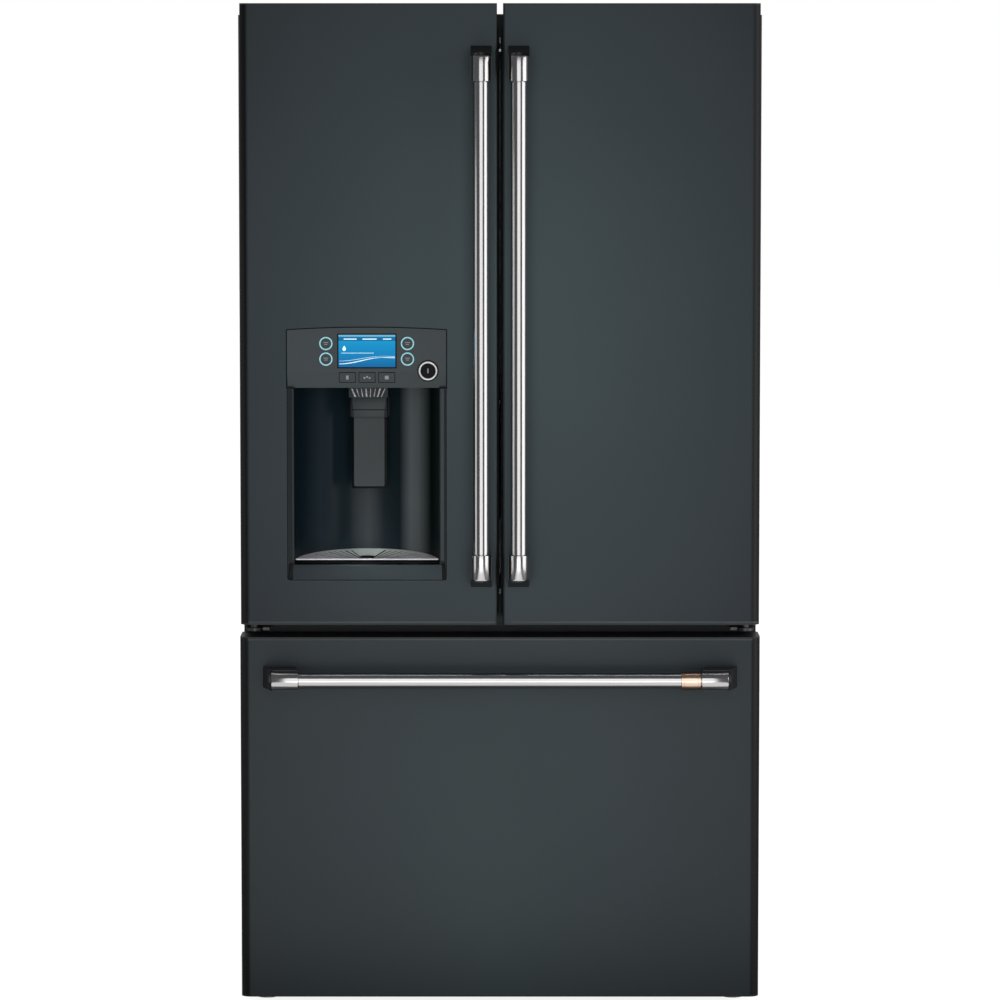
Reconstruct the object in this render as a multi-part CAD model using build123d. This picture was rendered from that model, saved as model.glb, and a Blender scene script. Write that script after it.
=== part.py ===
from build123d import *
import os
from math import atan2, degrees

# A french door refrigerator: two doors over one freezer drawer, a dispenser in the left door.
# Millimetres. X to the right seen from the front, Y to the back, Z up, floor at Z = 0.
# The origin is under the middle of the object's box.

# ---- overall size ----
width = 908.0
depth = 921.0
height = 1760.0
front = -depth / 2
back = depth / 2

# ---- depth stations, from the handles back ----
ferrule_radius = 17.0
grip_radius = 14.0
standoff = 56.0
door_thickness = 88.0
gasket_space = 14.0
liner_proud = 2.0
handle_y = front + ferrule_radius
door_front = handle_y + standoff
door_back = door_front + door_thickness
case_front = door_back + gasket_space

# ---- case ----
sheet = 1.2
liner_wall = 3.0
case_half = 451.5
case_top = 1743.0
case_bottom = 30.0
case_flange = 31.0
pan_z = 48.0
fresh_half = 402.0
fresh_bottom = 735.0
fresh_top = 1693.0
fresh_back = 385.0
frost_half = 392.0
frost_bottom = 110.0
frost_top = 640.0
frost_back = 205.0
recess_half = 300.0
recess_bottom = 310.0
recess_back = 330.0
room_front = 270.0
room_top = 270.0
ledge_top = 604.0

# ---- doors and drawer ----
outer_edge_radius = 17.0
centre_edge_radius = 4.0
door_outer = 452.5
door_centre = 5.25
door_bottom = 682.0
door_top = height
cap_plate = 3.0
cap_plug = 29.0
foot_plug = 15.0
drawer_outer = width / 2
drawer_bottom = 25.0
drawer_top = 660.0
drawer_travel = 450.0

# ---- hinges ----
hinge_x = 430.0
hinge_y = door_front + 40.0
pin_radius = 6.0
running_gap = 0.05
hinge_plate = 5.0
arm_half = 12.5
notch_floor = 1740.0
notch_inboard = 75.0
notch_lip = 8.0
centre_hinge_z = 668.0

# ---- handles ----
ferrule_length = 44.5
upright_x = 32.5
upright_low = 765.5
upright_high = 1670.0
cross_z = 591.0
cross_half = 396.5
cross_ferrule = 47.0
joint_groove = 0.8
post_half = 18.0
post_flare_outer = 18.0
post_flare_inner = 9.5
band_start = 314.0
band_length = 34.0
band_radius = 16.4

# ---- dispenser in the left door ----
disp_x = -231.5
disp_half = 138.2
disp_bottom = 760.5
disp_top = 1200.8
disp_rise = 4.5
panel_bottom = 1095.6
panel_crease = 1122.6
panel_front = door_front - 1.5
panel_slope = 8.0
panel_back = door_front + 15.5
recess_front = door_front + 1.0
recess_chord = 126.4
recess_depth = 107.0
tray_z = 796.5
tray_rise = 6.5
lip_top = 788.6
screen_x = -230.75
screen_size = (98.5, 56.0)
screen_z = 1160.0
key_size = (27.0, 16.7)
key_z = 1113.9
key_xs = {"water_key": -265.0, "crushed_ice_key": -230.7, "cubed_ice_key": -196.6}
button_x = -125.0
button_z = 1125.6
button_radius = 12.6
paddle_x = -229.0
paddle_width = 53.0
paddle_bottom = 919.0
paddle_pivot_z = 1048.0
paddle_pivot_y = door_front + 69.5
holder_width = 62.0

recess_radius = recess_chord ** 2 / (2 * recess_depth) + recess_depth / 2
recess_centre_y = recess_front + recess_depth - recess_radius
slope_angle = degrees(atan2(panel_slope, panel_crease - panel_bottom))


# ---- shapes that many pieces share ----
def block(x0, x1, y0, y1, z0, z1):
    """A box given by its lowest and highest X, Y and Z."""
    centre = Pos((x0 + x1) / 2, (y0 + y1) / 2, (z0 + z1) / 2)
    return centre * Box(x1 - x0, y1 - y0, z1 - z0)


def round_block(x0, x1, y0, y1, z0, z1, radius):
    """A box whose four upright edges are rounded."""
    plan = Pos((x0 + x1) / 2, (y0 + y1) / 2) * RectangleRounded(x1 - x0, y1 - y0, radius)
    return Pos(0, 0, z0) * extrude(plan, amount=z1 - z0)


def upright(x, y, z0, z1, radius):
    """A round bar along Z."""
    return Pos(x, y, (z0 + z1) / 2) * Cylinder(radius, z1 - z0)


def crosswise(x0, x1, y, z, radius):
    """A round bar along X."""
    return Pos((x0 + x1) / 2, y, z) * Rot(0, 90, 0) * Cylinder(radius, x1 - x0)


def fore_aft(x, y0, y1, z, radius):
    """A round bar along Y."""
    return Pos(x, (y0 + y1) / 2, z) * Rot(90, 0, 0) * Cylinder(radius, y1 - y0)


def flip(shape):
    """The same piece for the other side of the refrigerator."""
    return mirror(shape, about=Plane.YZ)


def both_sides(shapes):
    """Each piece, and its mirror image across the middle."""
    return list(shapes) + [flip(shape) for shape in shapes]


def tub(x0, x1, y0, y1, z0, z1, wall, corner):
    """An open-topped moulded box."""
    outside = round_block(x0, x1, y0, y1, z0, z1, corner)
    inside = round_block(x0 + wall, x1 - wall, y0 + wall, y1 - wall, z0 + wall, z1 + wall, corner - wall)
    return outside - inside


def door_plan(x0, x1, y0, y1, radius0, radius1, z0, z1):
    """A door-shaped slab: only its two front upright edges are rounded."""
    plan = Pos((x0 + x1) / 2, (y0 + y1) / 2) * Rectangle(x1 - x0, y1 - y0)
    plan = fillet(plan.vertices().group_by(Axis.Y)[0].sort_by(Axis.X)[0], radius0)
    plan = fillet(plan.vertices().group_by(Axis.Y)[0].sort_by(Axis.X)[-1], radius1)
    return Pos(0, 0, z0) * extrude(plan, amount=z1 - z0)


def front_outline(x0, x1, y0, y1, z0, z1, rise, corner):
    """A slab seen from the front: a gently arched top and rounded lower corners."""
    base = Polyline((x0, z1 - rise), (x0, z0), (x1, z0), (x1, z1 - rise))
    arch = ThreePointArc((x1, z1 - rise), ((x0 + x1) / 2, z1), (x0, z1 - rise))
    face = make_face(Curve() + [base, arch])
    face = fillet(face.vertices().group_by(Axis.Y)[0], corner)
    return Pos(0, y1, 0) * extrude(Plane.XZ * face, amount=y1 - y0)


def tube(points, radius, bend):
    """A bent tube along straight runs with equal bends."""
    path = FilletPolyline(*points, radius=bend)
    section = Plane(origin=path @ 0, z_dir=path % 0) * Circle(radius)
    return sweep(section, path)


def ring_gasket(x0, x1, z0, z1, band):
    """A magnetic door seal: a closed frame of one section."""
    outside = block(x0, x1, door_back + liner_proud, case_front - 0.5, z0, z1)
    inside = block(x0 + band, x1 - band, door_back - 1, case_front, z0 + band, z1 - band)
    return outside - inside


def fan(radius, hub, length, blades, pitch):
    """An axial fan about Z: a hub and pitched blades."""
    wheel = Cylinder(hub, length)
    blade_length = radius - hub / 2
    for index in range(blades):
        turn = Rot(0, 0, index * 360 / blades)
        blade = Pos(hub / 2 + blade_length / 2, 0, 0) * Rot(pitch, 0, 0)
        wheel += turn * blade * Box(blade_length, hub * 1.7, 1.6)
    return wheel & Cylinder(radius, length)


# ---- case ----
def case_wrapper():
    """Four painted steel sheets: two sides, the top and the rail between the compartments."""
    side = block(-case_half, -case_half + sheet, case_front, back - 2, case_bottom, case_top - sheet)
    side += block(-case_half, -case_half + case_flange, case_front, case_front + sheet,
                  case_bottom, case_top - sheet)
    top = block(-case_half, case_half, case_front, back - 2, case_top - sheet, case_top)
    top += block(-case_half + case_flange, case_half - case_flange, case_front, case_front + sheet,
                 case_top - 40, case_top)
    rail_depth = 28
    rail_low = frost_top + 10
    rail_high = fresh_bottom - 10
    reach = case_half - case_flange
    rail = block(-reach, reach, case_front, case_front + rail_depth, rail_low, rail_high)
    rail -= block(-reach, reach, case_front + sheet, case_front + rail_depth + 1,
                  rail_low + sheet, rail_high - sheet)
    return both_sides([side]) + [top, rail]


def rear_panels():
    """The back sheet with pressed ribs, and the slotted cover over the machine room."""
    face = back - 2
    low = room_top + 5
    sheet_panel = block(-case_half, case_half, face, face + sheet, low, case_top)
    rib_half = 340
    for rib_z in (500, 760, 1020, 1280, 1540):
        sheet_panel += block(-rib_half, rib_half, face, back, rib_z, rib_z + 14)
    cover = block(-case_half + 2, case_half - 2, face, face + sheet, pan_z + 6, low - 1)
    slot_pitch = 20
    for row_z in (100, 165):
        for index in range(15):
            slot_x = -300 + index * slot_pitch
            cover -= block(slot_x, slot_x + 7, face - 1, face + 3, row_z, row_z + 48)
    cover -= fore_aft(330, face - 1, face + 3, 120, 9)
    gland = fore_aft(330, face - 14, back, 120, 8.8) - fore_aft(330, face - 15, back + 1, 120, 4)
    return [sheet_panel, cover, gland]


def base_pan():
    """The steel base tray, its two roller brackets with axles, and two leg nuts."""
    reach = case_half - 5
    tray = block(-reach, reach, case_front + 12, back - 6, pan_z, pan_z + 15)
    tray -= block(-reach + 2, reach - 2, case_front + 14, back - 8, pan_z + 2, pan_z + 16)
    for side in (-1, 1):
        tray -= upright(side * leg_x, leg_y, pan_z - 1, pan_z + 3, leg_radius + 2)
    bracket = block(-roller_x - 14, -roller_x + 14, roller_y - 24, roller_y + 24, 14, pan_z)
    bracket -= block(-roller_x - 11.5, -roller_x + 11.5, roller_y - 25, roller_y + 25, 13, pan_z - 3)
    bracket += crosswise(-roller_x - 14, -roller_x + 14, roller_y, roller_radius, axle_radius)
    nut = upright(-leg_x, leg_y, pan_z - 12, pan_z, 14) - upright(-leg_x, leg_y, 0, 100, leg_radius + 0.3)
    return [tray] + both_sides([bracket, nut])


def cabinet_foam():
    """Rigid insulation between the sheets and the liners, as the blocks that it fills."""
    skin = case_half - sheet
    y0 = case_front + sheet + 0.3
    y1 = back - 2
    fresh_out = fresh_half + liner_wall
    frost_out = frost_half + liner_wall
    fresh_low = fresh_bottom - liner_wall
    fresh_high = fresh_top + liner_wall
    frost_low = frost_bottom - liner_wall
    frost_high = frost_top + liner_wall
    rear = frost_back + liner_wall
    room_z = room_top + liner_wall
    nook = recess_half + liner_wall
    nook_low = recess_bottom - liner_wall
    nook_rear = recess_back + liner_wall
    floor = pan_z + 4
    floor_half = case_half - 8
    sides = [
        block(-skin, -fresh_out, y0, y1, fresh_low, fresh_high),
        block(-skin, -frost_out, y0, y1, room_z, frost_high),
        block(-skin, -frost_out, y0, room_front - 3, frost_low, room_z),
        block(-frost_out, -nook, rear, y1, room_z, frost_high),
    ]
    middle = [
        block(-fresh_out, fresh_out, fresh_back + liner_wall, y1, fresh_low, fresh_high),
        block(-skin, skin, y0, y1, fresh_high, case_top - sheet),
        block(-skin, skin, case_front + 30, y1, frost_high, fresh_low),
        block(-nook, nook, nook_rear, y1, nook_low, frost_high),
        block(-nook, nook, rear, y1, room_z, nook_low),
        block(-frost_out, frost_out, rear, room_front - 3, frost_low, room_z),
        block(-floor_half, floor_half, y0 + 15, room_front - 3, floor, frost_low),
    ]
    return both_sides(sides) + middle



def liner_shell(half, z0, z1, y1, corner):
    """A vacuum-formed compartment liner: a box open at the front."""
    wall = liner_wall
    outside = block(-half - wall, half + wall, case_front + sheet, y1 + wall, z0 - wall, z1 + wall)
    inside = block(-half, half, case_front - 1, y1, z0, z1)
    rounded = [edge for edge in inside.edges().filter_by(Axis.Y)]
    inside = fillet(rounded, corner)
    inside = fillet(inside.faces().sort_by(Axis.Y)[-1].edges(), corner / 2)
    return outside - inside


def fresh_food_liner():
    """The upper liner, with its front lip against the steel flange."""
    shell = liner_shell(fresh_half, fresh_bottom, fresh_top, fresh_back, 24)
    reach = case_half - case_flange - 0.2
    lip = block(-reach, reach, case_front, case_front + sheet, fresh_bottom - 9.5, fresh_top + 9.5)
    lip -= block(-fresh_half, fresh_half, case_front - 1, case_front + 3, fresh_bottom, fresh_top)
    return [shell + lip]


def freezer_liner():
    """The lower liner, with the evaporator recess and two ledges for the upper basket."""
    shell = liner_shell(frost_half, frost_bottom, frost_top, frost_back, 16)
    nook = block(-recess_half - liner_wall, recess_half + liner_wall, frost_back + liner_wall,
                 recess_back + liner_wall, recess_bottom - liner_wall, frost_top + liner_wall)
    shell += nook
    shell -= block(-recess_half, recess_half, frost_back - 20, recess_back, recess_bottom, frost_top)
    reach = case_half - case_flange - 0.2
    lip = block(-reach, reach, case_front, case_front + sheet, frost_bottom - 9.5, frost_top + 9.5)
    lip -= block(-frost_half, frost_half, case_front - 1, case_front + 3, frost_bottom, frost_top)
    shell += lip
    for side in (-1, 1):
        edge = sorted((side * (frost_half - 14), side * (frost_half + 1)))
        shell += block(edge[0], edge[1], case_front + 20, frost_back - 25, ledge_top - 8, ledge_top)
    return [shell]


def base_grille():
    """The slotted kick plate behind the drawer's lower edge."""
    reach = case_half - case_flange - 2
    y0 = case_front + 2
    plate = block(-reach, reach, y0, y0 + 4, case_bottom + 2, frost_bottom - 12)
    for row in range(4):
        slot_z = case_bottom + 12 + row * 14
        for column in range(6):
            slot_x = -390 + column * 132
            plate -= block(slot_x, slot_x + 120, y0 - 1, y0 + 5, slot_z, slot_z + 6)
    return [plate]


# ---- hinges and covers ----
def hinges():
    """Top hinges on the case, and centre hinges between the door and the drawer."""
    top_z = case_top
    leaf = block(-case_half + 4, -hinge_x + 45, case_front + 4, case_front + 110,
                 top_z, top_z + hinge_plate)
    arm = block(-hinge_x - arm_half, -hinge_x + arm_half, hinge_y, case_front + 6,
                top_z, top_z + hinge_plate)
    top = leaf + arm + upright(-hinge_x, hinge_y, top_z, top_z + hinge_plate, arm_half)
    top += upright(-hinge_x, hinge_y, notch_floor - 11, top_z, pin_radius)
    low_z = centre_hinge_z
    plate = block(-case_half + 6, -hinge_x + 26, hinge_y, case_front, low_z, low_z + hinge_plate)
    plate -= block(-case_half, -hinge_x - arm_half - 2, hinge_y - 20, case_front - 40, 0, height)
    plate += upright(-hinge_x, hinge_y, low_z, low_z + hinge_plate, arm_half + 2)
    plate += block(-case_half + 6, -hinge_x + 26, case_front - 3, case_front,
                   low_z - 5, low_z + 18)
    plate += upright(-hinge_x, hinge_y, low_z, door_bottom + 11, pin_radius)
    return both_sides([top, plate])


def hinge_covers():
    """Moulded covers over the top hinges, with a nose along each arm."""
    top = height - 1.5
    reach = 14.5
    body = round_block(-case_half + 1, -hinge_x + 52, case_front + 1, case_front + 124,
                       case_top, top, 8)
    nose = block(-hinge_x - reach, -hinge_x + reach, hinge_y, case_front + 12, case_top, top)
    cover = body + nose + upright(-hinge_x, hinge_y, case_top, top, reach)
    cover = fillet(cover.faces().sort_by(Axis.Z)[-1].edges(), 2.5)
    hollow = block(-case_half + 3.5, -hinge_x + 49.5, case_front + 3.5, case_front + 121.5,
                   case_top - 1, top - 2.5)
    tunnel = block(-hinge_x - arm_half - 0.5, -hinge_x + arm_half + 0.5, hinge_y, case_front + 12,
                   case_top - 1, case_top + hinge_plate + 0.5)
    eye = upright(-hinge_x, hinge_y, case_top - 1, case_top + hinge_plate + 0.5, arm_half + 0.5)
    return both_sides([cover - hollow - tunnel - eye])


# ---- inside the fresh food compartment ----
shelf_heights = (1260.0, 1470.0)
shelf_front = -145.0
shelf_rear = 352.0


def glass_shelves():
    """Four half-width glass shelves and the full-width pane over the crispers."""
    pane = 4
    panes = [round_block(8, 388, shelf_front, shelf_rear, z - pane, z, 10) for z in shelf_heights]
    crisper_pane = round_block(-390, 390, shelf_front, shelf_rear, 1052, 1056, 10)
    return both_sides(panes) + [crisper_pane]


def shelf_supports():
    """Slotted wall ladders, and the arms that hang from them under each shelf."""
    side_ladder = block(-392, -376, 374, fresh_back - 0.3, 1080, 1660)
    middle_ladder = block(-10, 10, 360, 368.5, 1080, 1650)
    for index in range(26):
        slot_z = 1096 + index * 21
        side_ladder -= block(-387, -381, 370, 380, slot_z, slot_z + 11)
        middle_ladder -= block(-7, -3, 355, 365, slot_z, slot_z + 11)
        middle_ladder -= block(3, 7, 355, 365, slot_z, slot_z + 11)
    arms = []
    for shelf_z in shelf_heights:
        for x0, y1 in ((-386.5, 373.5), (-15, 359.5)):
            profile = Polyline((shelf_front + 20, shelf_z - 4.5), (y1, shelf_z - 4.5),
                               (y1, shelf_z - 46), (y1 - 30, shelf_z - 46),
                               (shelf_front + 20, shelf_z - 16), close=True)
            arms.append(Pos(x0, 0, 0) * extrude(Plane.YZ * make_face(profile), amount=5))
    return both_sides([side_ladder] + arms) + [middle_ladder]


def produce_drawers():
    """Two crisper drawers over one full-width pan, each a clear tub with a front rim."""
    crisper = tub(6, 386, -150, 366, 872, 1038, 3, 12)
    crisper += block(20, 372, -158, -150, 1012, 1038)
    pan = tub(-384, 384, -150, 366, 744, 850, 3, 12)
    pan += block(-300, 300, -158, -150, 826, 850)
    return both_sides([crisper]) + [pan]


def air_duct():
    """The duct cover on the back wall, with its outlet slots."""
    duct = round_block(-86, 86, 369, fresh_back - 0.3, 1078, 1655, 5)
    for outlet_z in (1140, 1330, 1380, 1540, 1590):
        for side in (-1, 1):
            x0, x1 = sorted((side * 30, side * 74))
            duct -= block(x0, x1, 368, 378, outlet_z, outlet_z + 8)
    return [duct]


# ---- cooling machinery ----
room_y = 365.0
fan_z = 150.0
frost_fan_z = 560.0
frost_fan_y = 226.0


def compressor():
    """The sealed compressor can on its foot plate, with its tube stubs."""
    centre_x = 235
    radius = 76
    low = pan_z + 14
    can = upright(centre_x, room_y, low, low + 165, radius)
    can = fillet(can.faces().sort_by(Axis.Z)[-1].edges(), 42)
    can = fillet(can.faces().sort_by(Axis.Z)[0].edges(), 30)
    can += upright(centre_x, room_y, low + 88, low + 94, radius + 3)
    feet = block(centre_x - 100, centre_x + 100, room_y - 70, room_y + 70, low - 4, low + 3)
    can += feet
    can += crosswise(centre_x - 110, centre_x - radius + 10, room_y + 20, low + 110, 5)
    can += crosswise(centre_x - 110, centre_x - radius + 10, room_y - 25, low + 60, 3.5)
    for foot_x in (-82, 82):
        for foot_y in (-52, 52):
            can += upright(centre_x + foot_x, room_y + foot_y, pan_z + 2, low - 4, 14)
    return [can]


def condenser_unit():
    """A folded condenser tube, and the bracket that carries its fan motor."""
    points = []
    run_ends = (-330, -70)
    for row in range(9):
        row_z = pan_z + 22 + row * 20
        ends = run_ends if row % 2 == 0 else run_ends[::-1]
        points += [(ends[0], row_z), (ends[1], row_z)]
    coils = []
    for row_y in (325, 355, 385, 415):
        coils.append(tube([(x, row_y, z) for x, z in points], 3.2, 9.5))
    plate = block(-56, -52, 290, 440, pan_z + 2, 255) - crosswise(-60, -50, room_y, fan_z, 71)
    strut = block(-56, -52, room_y - 73, room_y + 73, fan_z - 6, fan_z + 6)
    motor = crosswise(-62, -24, room_y, fan_z, 22) - crosswise(-30, -20, room_y, fan_z, 3.05)
    return coils + [plate + strut + motor]


def condenser_fan():
    """The machine room fan, on its motor shaft."""
    wheel = Rot(0, 90, 0) * fan(66, 20, 22, 5, 38)
    shaft = crosswise(-29, 5, room_y, fan_z, 3)
    return [Pos(-8, room_y, fan_z) * wheel + shaft]


def evaporator_coil():
    """The finned evaporator behind the freezer's rear cover."""
    rows = (350, 390, 430, 470)
    coil = None
    for row_y in (250, 290):
        points = []
        for row, row_z in enumerate(rows):
            ends = (-250, 250) if row % 2 == 0 else (250, -250)
            points += [(ends[0], row_y, row_z), (ends[1], row_y, row_z)]
        run = tube(points, 4, 19)
        coil = run if coil is None else coil + run
    for index in range(17):
        fin_x = -224 + index * 28
        coil += block(fin_x, fin_x + 1.5, 232, 308, 334, 486)
    return [coil]


def evaporator_cover():
    """The freezer's rear panel, with a fan opening, outlet slots and the motor holder behind it."""
    y0 = frost_back - 9
    panel = block(-frost_half + 24, frost_half - 24, y0, y0 + 6, 270, frost_top - 14)
    panel -= fore_aft(0, y0 - 1, y0 + 8, frost_fan_z, 56)
    for ring in (18, 34, 50):
        panel += fore_aft(0, y0, y0 + 3, frost_fan_z, ring + 2) - fore_aft(0, 0, back, frost_fan_z, ring)
    for spoke in (0, 90):
        bar = Pos(0, y0 + 1.5, frost_fan_z) * Rot(0, spoke, 0) * Box(114, 3, 4)
        panel += bar
    for side in (-1, 1):
        for index in range(6):
            x0, x1 = sorted((side * 150, side * 300))
            slot_z = 480 + index * 18
            panel -= block(x0, x1, y0 - 1, y0 + 7, slot_z, slot_z + 7)
            panel -= block(x0, x1, y0 - 1, y0 + 7, 290 + index * 12, 295 + index * 12)
    for side in (-1, 1):
        x0, x1 = sorted((side * 62, side * 68))
        panel += block(x0, x1, y0 + 5, frost_fan_y + 40, frost_fan_z - 8, frost_fan_z + 8)
    panel += block(-68, 68, frost_fan_y + 34, frost_fan_y + 40, frost_fan_z - 8, frost_fan_z + 8)
    panel += fore_aft(0, frost_fan_y + 18, frost_fan_y + 50, frost_fan_z, 20)
    panel -= fore_aft(0, frost_fan_y + 17, frost_fan_y + 32, frost_fan_z, 2.55)
    return [panel]


def evaporator_fan():
    """The freezer fan, on its motor shaft."""
    wheel = Rot(90, 0, 0) * fan(50, 16, 16, 5, 36)
    shaft = fore_aft(0, frost_fan_y, frost_fan_y + 30, frost_fan_z, 2.5)
    return [Pos(0, frost_fan_y, frost_fan_z) * wheel + shaft]


# ---- feet and rollers ----
leg_x = 415.0
leg_y = -250.0
leg_radius = 6.0
roller_x = 405.0
roller_y = 405.0
roller_radius = 20.0
axle_radius = 4.0


def levelling_legs():
    """Two threaded front legs with round feet."""
    foot = upright(-leg_x, leg_y, 0, 9, 19)
    foot = fillet(foot.faces().sort_by(Axis.Z)[-1].edges(), 3)
    hexagon = Pos(-leg_x, leg_y, 9) * extrude(RegularPolygon(11, 6), amount=8)
    return both_sides([foot + hexagon + upright(-leg_x, leg_y, 17, pan_z + 3, leg_radius)])


def rear_rollers():
    """Two rear rollers that turn on the fixed axles."""
    roller = crosswise(-roller_x - 10, -roller_x + 10, roller_y, roller_radius, roller_radius)
    roller = fillet(roller.edges().filter_by(GeomType.CIRCLE), 2)
    bore = crosswise(-roller_x - 20, -roller_x + 20, roller_y, roller_radius, axle_radius + running_gap)
    return both_sides([roller - bore])


# ---- door parts, drawn for the left door ----
def skin_shell(x0, x1, z0, z1, radius0, radius1):
    """The folded steel front of a door: its face and both sides, open at the back."""
    outside = door_plan(x0, x1, door_front, door_back, radius0, radius1, z0, z1)
    inside = door_plan(x0 + sheet, x1 - sheet, door_front + sheet, door_back + 5,
                       radius0 - sheet, radius1 - sheet, z0 - 1, z1 + 1)
    return outside - inside


def hinge_notch():
    """The pocket in the door's top corner that lets the hinge arm swing."""
    return block(-door_outer - 5, -door_outer + notch_inboard, door_front + notch_lip, door_back + 5,
                 notch_floor, height + 5)


def plain_skin():
    """A door skin with the hinge notch cut into its outer side."""
    shell = skin_shell(-door_outer, -door_centre, door_bottom + cap_plate, door_top - cap_plate,
                       outer_edge_radius, centre_edge_radius)
    return shell - hinge_notch()


def dispenser_opening(margin, y0, y1):
    """The dispenser's front outline, with a margin all round."""
    return front_outline(disp_x - disp_half - margin, disp_x + disp_half + margin, y0, y1,
                         disp_bottom - margin, disp_top + margin, disp_rise, 5 + margin)


def left_door_skin():
    """The left door's skin, cut out for the dispenser."""
    return [plain_skin() - dispenser_opening(0.6, door_front - 5, door_front + 5)]


def door_caps():
    """The moulded top and bottom caps of a door, each with a bore for its hinge pin."""
    inset = sheet + 0.2
    top_plate = door_plan(-door_outer, -door_centre, door_front, door_back,
                          outer_edge_radius, centre_edge_radius, door_top - cap_plate, door_top)
    top_plug = door_plan(-door_outer + inset, -door_centre - inset, door_front + inset, door_back,
                         outer_edge_radius - inset, centre_edge_radius - inset,
                         door_top - cap_plate - cap_plug, door_top - cap_plate)
    top = top_plate + top_plug - hinge_notch()
    top -= upright(-hinge_x, hinge_y, notch_floor - 12, height, pin_radius + running_gap)
    low_plate = door_plan(-door_outer, -door_centre, door_front, door_back,
                          outer_edge_radius, centre_edge_radius, door_bottom, door_bottom + cap_plate)
    low_plug = door_plan(-door_outer + inset, -door_centre - inset, door_front + inset, door_back,
                         outer_edge_radius - inset, centre_edge_radius - inset,
                         door_bottom + cap_plate, door_bottom + foot_plug)
    low = low_plate + low_plug
    low -= upright(-hinge_x, hinge_y, door_bottom - 1, door_bottom + 12, pin_radius + running_gap)
    return [top, low]


dyke_outer = 395.0
dyke_centre = 55.0
dyke_wall = 15.0
dyke_low = 745.0
dyke_high = 1685.0
dyke_rear = -200.0
bulge_rear = -258.0
flap_x = 36.0
flap_y = case_front + 10.5
flap_thickness = 20.0
flap_length = 83.0
flap_low = 752.0
flap_high = 1676.0


def foamed_door():
    """The foam-filled inner unit of a door: a slab, and the raised dykes that hold the bins."""
    inset = sheet + 0.2
    slab = door_plan(-door_outer + inset, -door_centre - inset, door_front + inset, door_back + liner_proud,
                     outer_edge_radius - inset, centre_edge_radius - inset,
                     door_bottom + foot_plug, door_top - cap_plate - cap_plug)
    frame = block(-dyke_outer, -dyke_centre, door_back, dyke_rear, dyke_low, dyke_high)
    frame -= block(-dyke_outer + dyke_wall, -dyke_centre - dyke_wall, door_back, dyke_rear + 1,
                   dyke_low + dyke_wall, dyke_high - dyke_wall)
    frame = fillet(frame.faces().sort_by(Axis.Y)[-1].edges(), 4)
    return slab + frame


def left_door_liner():
    """The left inner unit: hollow for the dispenser, bulged behind it, with two flap hinge lugs."""
    unit = foamed_door()
    unit += block(-dyke_outer + 5, -dyke_centre - 5, door_back, bulge_rear, dyke_low + 2, 1214)
    unit -= dispenser_opening(1.0, door_front - 5, recess_front + recess_depth + 4.5)
    unit -= block(paddle_x - 28, paddle_x + 28, door_front + 21.5, bulge_rear - 10, 1190, 1220)
    for lug_z in (flap_low - 9.5, flap_high + 0.5):
        unit += block(-flap_x - 10, -flap_x + 10, door_back, flap_y + 10, lug_z, lug_z + 9)
    unit -= upright(-flap_x, flap_y, flap_low - 8, flap_high + 8, 3 + running_gap)
    return [unit]


def door_gasket():
    """The seal around the back of a door."""
    return ring_gasket(-hinge_x + 6, -1.5, door_bottom + 12, 1718, 15)


def upright_handle(x):
    """A round steel bar with an end sleeve at each end."""
    low = upright_low + ferrule_length
    high = upright_high - ferrule_length
    grip = upright(x, handle_y, low + joint_groove, high - joint_groove, grip_radius)
    grip += upright(x, handle_y, low - 3, high + 3, grip_radius - 2)
    sleeves = []
    for z0, z1, end in ((upright_low, low, 0), (high, upright_high, -1)):
        sleeve = upright(x, handle_y, z0, z1, ferrule_radius)
        sleeve = fillet(sleeve.edges().filter_by(GeomType.CIRCLE).sort_by(Axis.Z)[end], 2.5)
        sleeve -= upright(x, handle_y, low - 3, high + 3, grip_radius - 2)
        sleeves.append(sleeve)
    return [grip] + sleeves


def handle_post(length):
    """A handle post between a sleeve on the X axis and a door face, sleeve centre at the origin."""
    outline = Polyline((0, 0), (length, 0), (length + post_flare_outer, standoff),
                       (post_flare_inner, standoff), close=True)
    body = extrude(make_face(outline), amount=post_half, both=True)
    crest = crosswise(-1, length + 60, 0, 0, ferrule_radius + 0.05)
    body = fillet(body.edges().filter_by(Axis.Z), 3)
    return body - crest


def upright_posts(x):
    """The two posts of an upright handle, flaring up at the top and down at the bottom."""
    upper = Pos(x, handle_y, upright_high - ferrule_length) * Rot(0, -90, 0) * handle_post(ferrule_length)
    lower = Pos(x, handle_y, upright_low + ferrule_length) * Rot(0, 90, 0) * handle_post(ferrule_length)
    return [upper, lower]


def bin_shelf(y0, z0, tall):
    """A clear door bin with a rolled rim, held between the dykes."""
    x0 = -dyke_outer + dyke_wall + 1
    x1 = -dyke_centre - dyke_wall - 1
    tray = tub(x0, x1, y0, bin_rear, z0, z0 + tall, 3, 10)
    return tray + block(x0 + 12, x1 - 12, bin_rear - 2, bin_rear + 4, z0 + tall - 10, z0 + tall)


bin_rear = -186.0
left_bins = ((775.0, 95.0), (990.0, 95.0))
right_bins = ((765.0, 105.0), (985.0, 105.0), (1205.0, 105.0), (1425.0, 105.0))


def left_door_bins():
    """Two shallow bins over the dispenser's bulge."""
    return [bin_shelf(bulge_rear + 1, z0, tall) for z0, tall in left_bins]


def right_door_bins():
    """Four deep bins."""
    return [flip(bin_shelf(door_back + 3, z0, tall)) for z0, tall in right_bins]


def mullion_flap():
    """The flap that closes the gap between the doors, with its two hinge pins."""
    bar = block(-flap_x - flap_thickness / 2, -flap_x + flap_thickness / 2,
                flap_y - 10, flap_y - 10 + flap_length, flap_low, flap_high)
    bar = fillet(bar.edges().filter_by(Axis.Z), 2)
    return [bar + upright(-flap_x, flap_y, flap_low - 7.5, flap_high + 7.5, 3)]


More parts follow.
